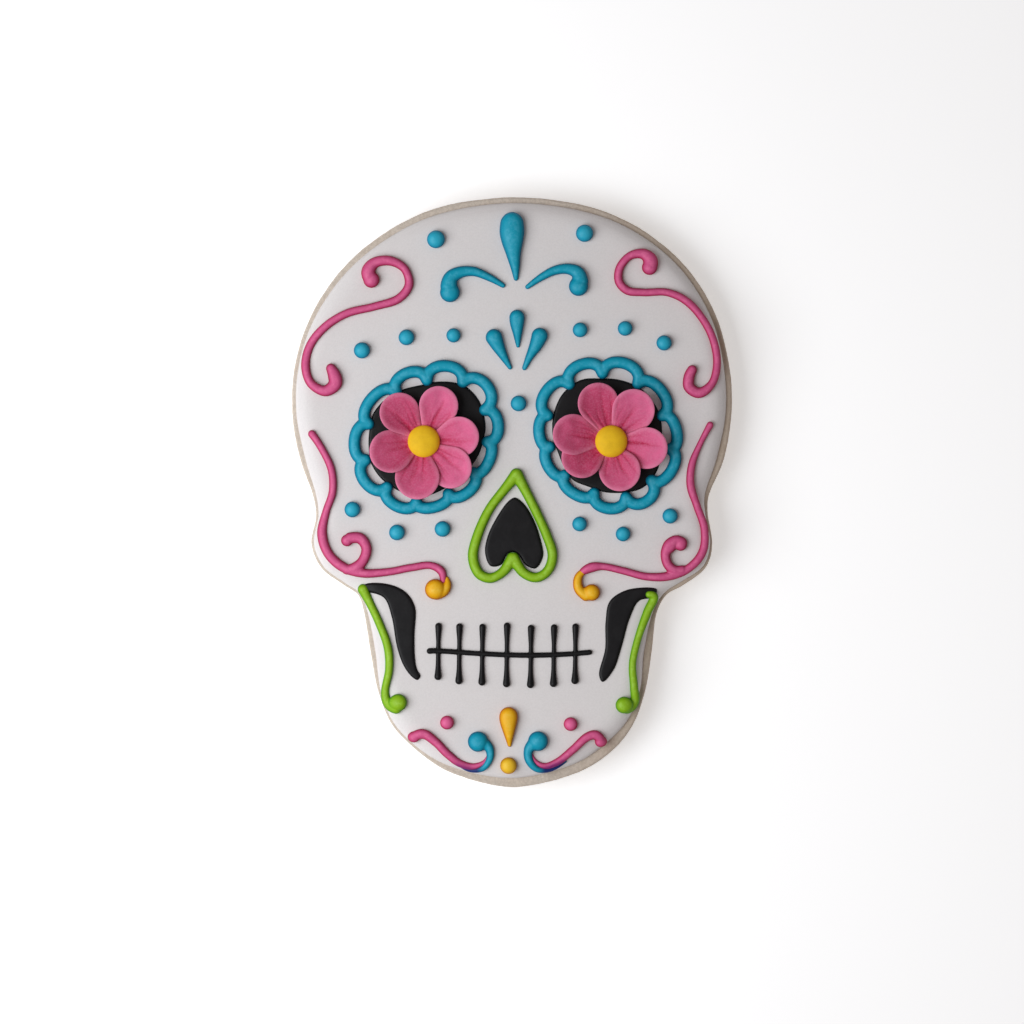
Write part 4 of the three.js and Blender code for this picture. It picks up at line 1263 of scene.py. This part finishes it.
class COOKIE_OT_dots(Operator):
    """Pipe the round dots"""

    bl_idname = "cookie.dots"
    bl_label = "Dots"

    def execute(self, context):
        groups = (("turquoise", TURQUOISE_DOTS), ("pink", PINK_DOTS), ("orange", ORANGE_DOTS))
        for seed, (name, dots) in enumerate(groups):
            chains = [[guide_point(x, y, radius, radius)] for x, y, radius in dots]
            finish = f"dot_{name}_icing"
            mesh = piped(f"dots_{name}", dot_tree(), chains, finish, seed)
            add_piece(f"dots_{name}", mesh, f"{name}_icing", finish=finish)
        return {"FINISHED"}


class COOKIE_OT_panels(Operator):
    """Flood the black panels: the eye discs, the nose and the hollows of the cheeks"""

    bl_idname = "cookie.panels"
    bl_label = "Black Panels"

    def execute(self, context):
        icing = context.scene.cookie_icing
        edge = icing.panel_edge / MM
        thickness = icing.panel / MM
        outlines = {name: smooth_path(knots, 12, closed=True) for name, knots in HOLLOWS.items()}
        for side, eye in EYES.items():
            outlines[f"eye_disc_{side}"] = smooth_path(eye["disc"], 12, closed=True)

        def top(x, y, distance):
            outward = 1 - min(distance, edge) / edge
            return icing_top(x, y) + thickness * math.sqrt(1 - outward**2)

        def bottom(x, y, distance):
            return icing_top(x, y) - 0.15

        turns = [math.radians(degrees) for degrees in range(0, 91, 15)]
        rows = [edge * (1 - math.cos(turn)) for turn in turns]
        for name, outline in outlines.items():
            area = sum(outline[i - 1].x * p.y - p.x * outline[i - 1].y for i, p in enumerate(outline))
            outline = evened(outline if area > 0 else outline[::-1], 0.25)
            mesh = pool(f"flooded_{name}", outline, rows, 0.5, top, bottom)
            add_piece(f"flooded_{name}", mesh, "black_icing", name)
        return {"FINISHED"}


class COOKIE_OT_eye_rings(Operator):
    """Pipe the scalloped rings round the eyes"""

    bl_idname = "cookie.eye_rings"
    bl_label = "Eye Rings"

    def execute(self, context):
        radius = RING_BEAD * context.scene.cookie_piping.ring_fullness
        for seed, (side, eye) in enumerate(EYES.items()):
            cusps = eye["scallops"]
            pairs = zip(cusps, [*cusps[1:], cusps[0]])
            chains = [bead_guide(scallop_knots(*pair, radius)) for pair in pairs]
            mesh = piped(f"piped_eye_ring_{side}", bead_tree(), chains, "turquoise_icing", 20 + seed)
            add_piece(f"piped_eye_ring_{side}", mesh, "turquoise_icing", f"eye_ring_{side}")
        return {"FINISHED"}


class COOKIE_OT_mouth(Operator):
    """Pipe the mouth's line and its upright stitches"""

    bl_idname = "cookie.mouth"
    bl_label = "Mouth"

    def execute(self, context):
        chains = [bead_guide(MOUTH_LINE)]
        for x, top, bottom in STITCHES:
            knots = [
                (x + STITCH_LEAN * share, top + (bottom - top) * share, radius)
                for share, radius in STITCH_SHAPE
            ]
            chains.append(bead_guide(knots))
        mesh = piped("piped_mouth", bead_tree(), chains, "black_icing", 30, grain=0.7)
        add_piece("piped_mouth", mesh, "black_icing", "mouth_stitches")
        return {"FINISHED"}


class COOKIE_OT_piping(Operator):
    """Pipe the scrolls, curls, hooks and drops, and the green lines of the nose and jaw"""

    bl_idname = "cookie.piping"
    bl_label = "Piping"

    def execute(self, context):
        for seed, (name, (slot, strokes, bulbs)) in enumerate(PIPED.items()):
            chains = [bead_guide(knots) for knots in strokes] + [bulb_guide(*bulb) for bulb in bulbs]
            finish = "chin_" + slot if name in CHIN_RUNS else slot
            mesh = piped(f"piped_{name}", bead_tree(), chains, finish, 40 + seed)
            add_piece(f"piped_{name}", mesh, slot, name, finish=finish)
        return {"FINISHED"}


class COOKIE_OT_flowers(Operator):
    """Model the sugar-paste flowers: six overlapping petals round a button each"""

    bl_idname = "cookie.flowers"
    bl_label = "Flowers"

    def execute(self, context):
        for side, eye in EYES.items():
            for i, shape in enumerate(eye["petals"]):
                name = f"petal_{side}_{i + 1}"
                mesh = petal_mesh(f"moulded_{name}", eye["flower"], shape, PETAL_SEEDS[side] + i)
                add_piece(f"moulded_{name}", mesh, "pink_sugar_paste", name)
            name = f"flower_button_{side}"
            mesh = button_mesh(f"moulded_{name}", eye["flower"])
            add_piece(f"moulded_{name}", mesh, "yellow_sugar_paste", name)
        return {"FINISHED"}


def flower_floor():
    """Height of the black panel that a flower lies on."""
    icing = bpy.context.scene.cookie_icing
    return BISCUIT_TOP + (icing.thickness + icing.panel) / MM


def petal_outline(reach, half_width):
    """A petal pointing along +x: a round end with straight sides that run to the flower's middle."""
    middle = reach - half_width
    taper = math.asin(half_width / middle)
    sweep = math.pi / 2 + taper
    start = 1.5
    side = [Vector((start, -start * math.tan(taper)))]
    round_end = []
    for step in range(PETAL_STEPS + 1):
        turn = -sweep + 2 * sweep * step / PETAL_STEPS
        round_end.append(Vector((middle + half_width * math.cos(turn), half_width * math.sin(turn))))
    return evened([*side, *round_end, Vector((start, start * math.tan(taper)))], 0.16)


def petal_mesh(name, flower, shape, seed):
    """A thin rounded petal, hollowed, rolled to one side and creased from its root."""
    settings = bpy.context.scene.cookie_flowers
    degrees, reach, half_width, blush = shape
    half, lip = settings.thickness / MM / 2, settings.lip / MM
    roll, cup, spoon = settings.roll / MM, settings.cup / MM, settings.spoon / MM
    facing = math.radians(degrees)
    ahead = Vector((math.cos(facing), math.sin(facing)))
    aside = Vector((-ahead.y, ahead.x))
    origin = Vector(flower)
    outline = petal_outline(reach, half_width)
    draw = random.Random(seed)
    creases = [
        (draw.uniform(-FINE_FAN, FINE_FAN), draw.uniform(0.3, 0.95), draw.uniform(0.45, 0.85), FINE_CREASE)
        for _ in range(FINE_CREASES)
    ]
    creases.append((draw.uniform(-BROAD_FAN, BROAD_FAN), 1.0, draw.uniform(0.75, 0.95), BROAD_CREASE))

    def petal_place(x, y):
        away = Vector((x, y)) - origin
        return max(away.dot(ahead), 0.0), away.dot(aside)

    def crease_depth(x, y):
        along, across = petal_place(x, y)
        angle = math.degrees(math.atan2(across, along + 0.5))
        depth = 0.0
        for place, deep, run, width in creases:
            bend = 4 * noise.noise((along / 3, place, seed))
            sideways = math.radians(angle - place - bend) * along
            depth += deep * max(0.0, 1 - along / reach / run) ** 0.6 * math.exp(-((sideways / width) ** 2))
        return min(depth, 1.0)

    def surface(x, y):
        along, across = petal_place(x, y)
        angle = math.atan2(across, along + 0.5)
        share = along / reach
        lift = cup * share**1.5 + spoon * (across / half_width) ** 2 * min(share * 2, 1)
        lift += roll * max(-1.3, min(1.3, angle / math.radians(30))) * min(max(along - 1.8, 0) / 2, 1)
        waver = 0.3 * noise.noise((x / 2.6, y / 2.6, seed)) * share
        return flower_floor() + half + roll + lift + waver

    def round_edge(distance):
        return math.sqrt(1 - (1 - min(distance, lip) / lip) ** 2)

    def top(x, y, distance):
        return surface(x, y) + half * round_edge(distance) - crease_depth(x, y) * settings.crease / MM

    def bottom(x, y, distance):
        return surface(x, y) - half * round_edge(distance)

    placed = [origin + ahead * p.x + aside * p.y for p in outline]
    turns = [math.radians(t) for t in range(0, 91, 15)]
    rows = [lip * (1 - math.cos(turn)) for turn in turns]
    mesh = pool(name, placed, rows, 0.17, top, bottom, plain_base=False)
    shore = Shore(placed, 0.1)
    places = [(vertex.co.x / MM, vertex.co.y / MM) for vertex in mesh.vertices]
    carry(mesh, "rim", [1 - min(shore.distance(x, y) / (lip * 1.2), 1) for x, y in places])
    carry(mesh, "crease", [crease_depth(x, y) for x, y in places])
    # Painted shade: how much crimson each point gets, from the petal's own amount and its closeness to the
    # root.
    roots = [max(0.0, 1 - petal_place(x, y)[0] / reach / 0.8) for x, y in places]
    carry(mesh, "blush", [blush + (1 - blush) * 0.75 * root for root in roots])
    return mesh


def button_mesh(name, flower):
    """A round button of sugar paste, domed and pressed down between the petals."""
    settings = bpy.context.scene.cookie_flowers
    radius = settings.button_radius / MM
    foot = flower_floor() + 0.5
    rise = settings.button_height / MM + 0.6

    def top(x, y, distance):
        out = 1 - min(distance, radius) / radius
        lump = 0.06 * noise.noise((x / 1.5, y / 1.5, 5.0))
        return foot + rise * (0.5 + 0.5 * (1 - out**2.4) ** 0.55) + lump * (1 - out)

    def bottom(x, y, distance):
        return foot

    rows = [radius * (1 - math.cos(math.radians(turn))) for turn in range(0, 61, 6)]
    return pool(name, circle(*flower, radius, 120), rows, 0.22, top, bottom)


# The key light's size and place in metres, and the colours of the key light and of the sky.
KEY_SIZE = 0.33
KEY_PLACE = (-0.235, -0.06, 0.275)
KEY_COLOUR = (0.94, 0.97, 1.0)
SKY_COLOUR = (1.0, 0.905, 0.885, 1.0)


class COOKIE_OT_stage(Operator):
    """Set the plain floor, the soft lights and the camera that looks straight down"""

    bl_idname = "cookie.stage"
    bl_label = "Stage"

    def execute(self, context):
        scene = context.scene
        settings = scene.cookie_stage
        bpy.ops.mesh.primitive_plane_add(size=4.0)
        floor = context.object
        floor.name = "floor"
        finish = Finish("floor_finish")
        finish.set(
            Base_Color=shade(settings.floor, 1.0),
            Roughness=0.9,
            Emission_Color=(1.0, 1.0, 1.0, 1.0),
            Emission_Strength=settings.floor_glow,
        )
        floor.data.materials.append(finish.material)

        middle = Vector((0.0, -settings.frame_drop, 0.0))
        self.add_light("key", settings.key_power, KEY_SIZE, Vector(KEY_PLACE), middle)

        world = bpy.data.worlds.new("soft_sky")
        world.use_nodes = True
        background = world.node_tree.nodes["Background"]
        background.inputs["Color"].default_value = SKY_COLOUR
        background.inputs["Strength"].default_value = settings.sky
        scene.world = world
        scene.view_settings.view_transform = "Standard"

        icing_height = (BISCUIT_TOP * MM) + scene.cookie_icing.thickness
        camera = bpy.data.cameras.new("camera")
        camera.sensor_width = 36.0
        camera.lens = camera.sensor_width * settings.camera_height / settings.frame_width
        camera.clip_end = 10.0
        holder = bpy.data.objects.new("camera", camera)
        holder.location = middle + Vector((0.0, 0.0, icing_height + settings.camera_height))
        context.collection.objects.link(holder)
        scene.camera = holder
        return {"FINISHED"}

    def add_light(self, name, power, size, place, aim):
        """Adds a square area light that faces a point."""
        light = bpy.data.lights.new(name, "AREA")
        light.energy = power
        light.size = size
        light.color = KEY_COLOUR
        holder = bpy.data.objects.new(name, light)
        holder.location = place
        holder.rotation_mode = "QUATERNION"
        holder.rotation_quaternion = (aim - place).to_track_quat("-Z", "Y")
        bpy.context.collection.objects.link(holder)


# ---------------------------------------------------------------- the add-on

OPERATORS = (
    COOKIE_OT_biscuit,
    COOKIE_OT_white_icing,
    COOKIE_OT_dots,
    COOKIE_OT_panels,
    COOKIE_OT_eye_rings,
    COOKIE_OT_mouth,
    COOKIE_OT_piping,
    COOKIE_OT_flowers,
    COOKIE_OT_stage,
)
SETTINGS = {
    "cookie_biscuit": BiscuitSettings,
    "cookie_icing": IcingSettings,
    "cookie_piping": PipingSettings,
    "cookie_flowers": FlowerSettings,
    "cookie_stage": StageSettings,
}


class COOKIE_PT_panel(Panel):
    """Lists the cookie's settings and pieces"""

    bl_idname = "COOKIE_PT_panel"
    bl_label = "Iced Cookie"
    bl_space_type = "VIEW_3D"
    bl_region_type = "UI"
    bl_category = "Cookie"

    def draw(self, context):
        for name, group in SETTINGS.items():
            box = self.layout.box()
            box.label(text=group.__doc__)
            for prop in group.__annotations__:
                box.prop(getattr(context.scene, name), prop)
        for operator in OPERATORS:
            self.layout.operator(operator.bl_idname)


def register():
    for group in (*SETTINGS.values(), *OPERATORS, COOKIE_PT_panel):
        bpy.utils.register_class(group)
    for name, group in SETTINGS.items():
        setattr(bpy.types.Scene, name, PointerProperty(type=group))


def unregister():
    for name in SETTINGS:
        delattr(bpy.types.Scene, name)
    for group in reversed((*SETTINGS.values(), *OPERATORS, COOKIE_PT_panel)):
        bpy.utils.unregister_class(group)


def main():
    """Makes every piece in order."""
    register()
    bpy.ops.cookie.biscuit()
    bpy.ops.cookie.white_icing()
    bpy.ops.cookie.dots()
    bpy.ops.cookie.panels()
    bpy.ops.cookie.eye_rings()
    bpy.ops.cookie.mouth()
    bpy.ops.cookie.piping()
    bpy.ops.cookie.flowers()
    bpy.ops.cookie.stage()


if __name__ == "__main__":
    main()
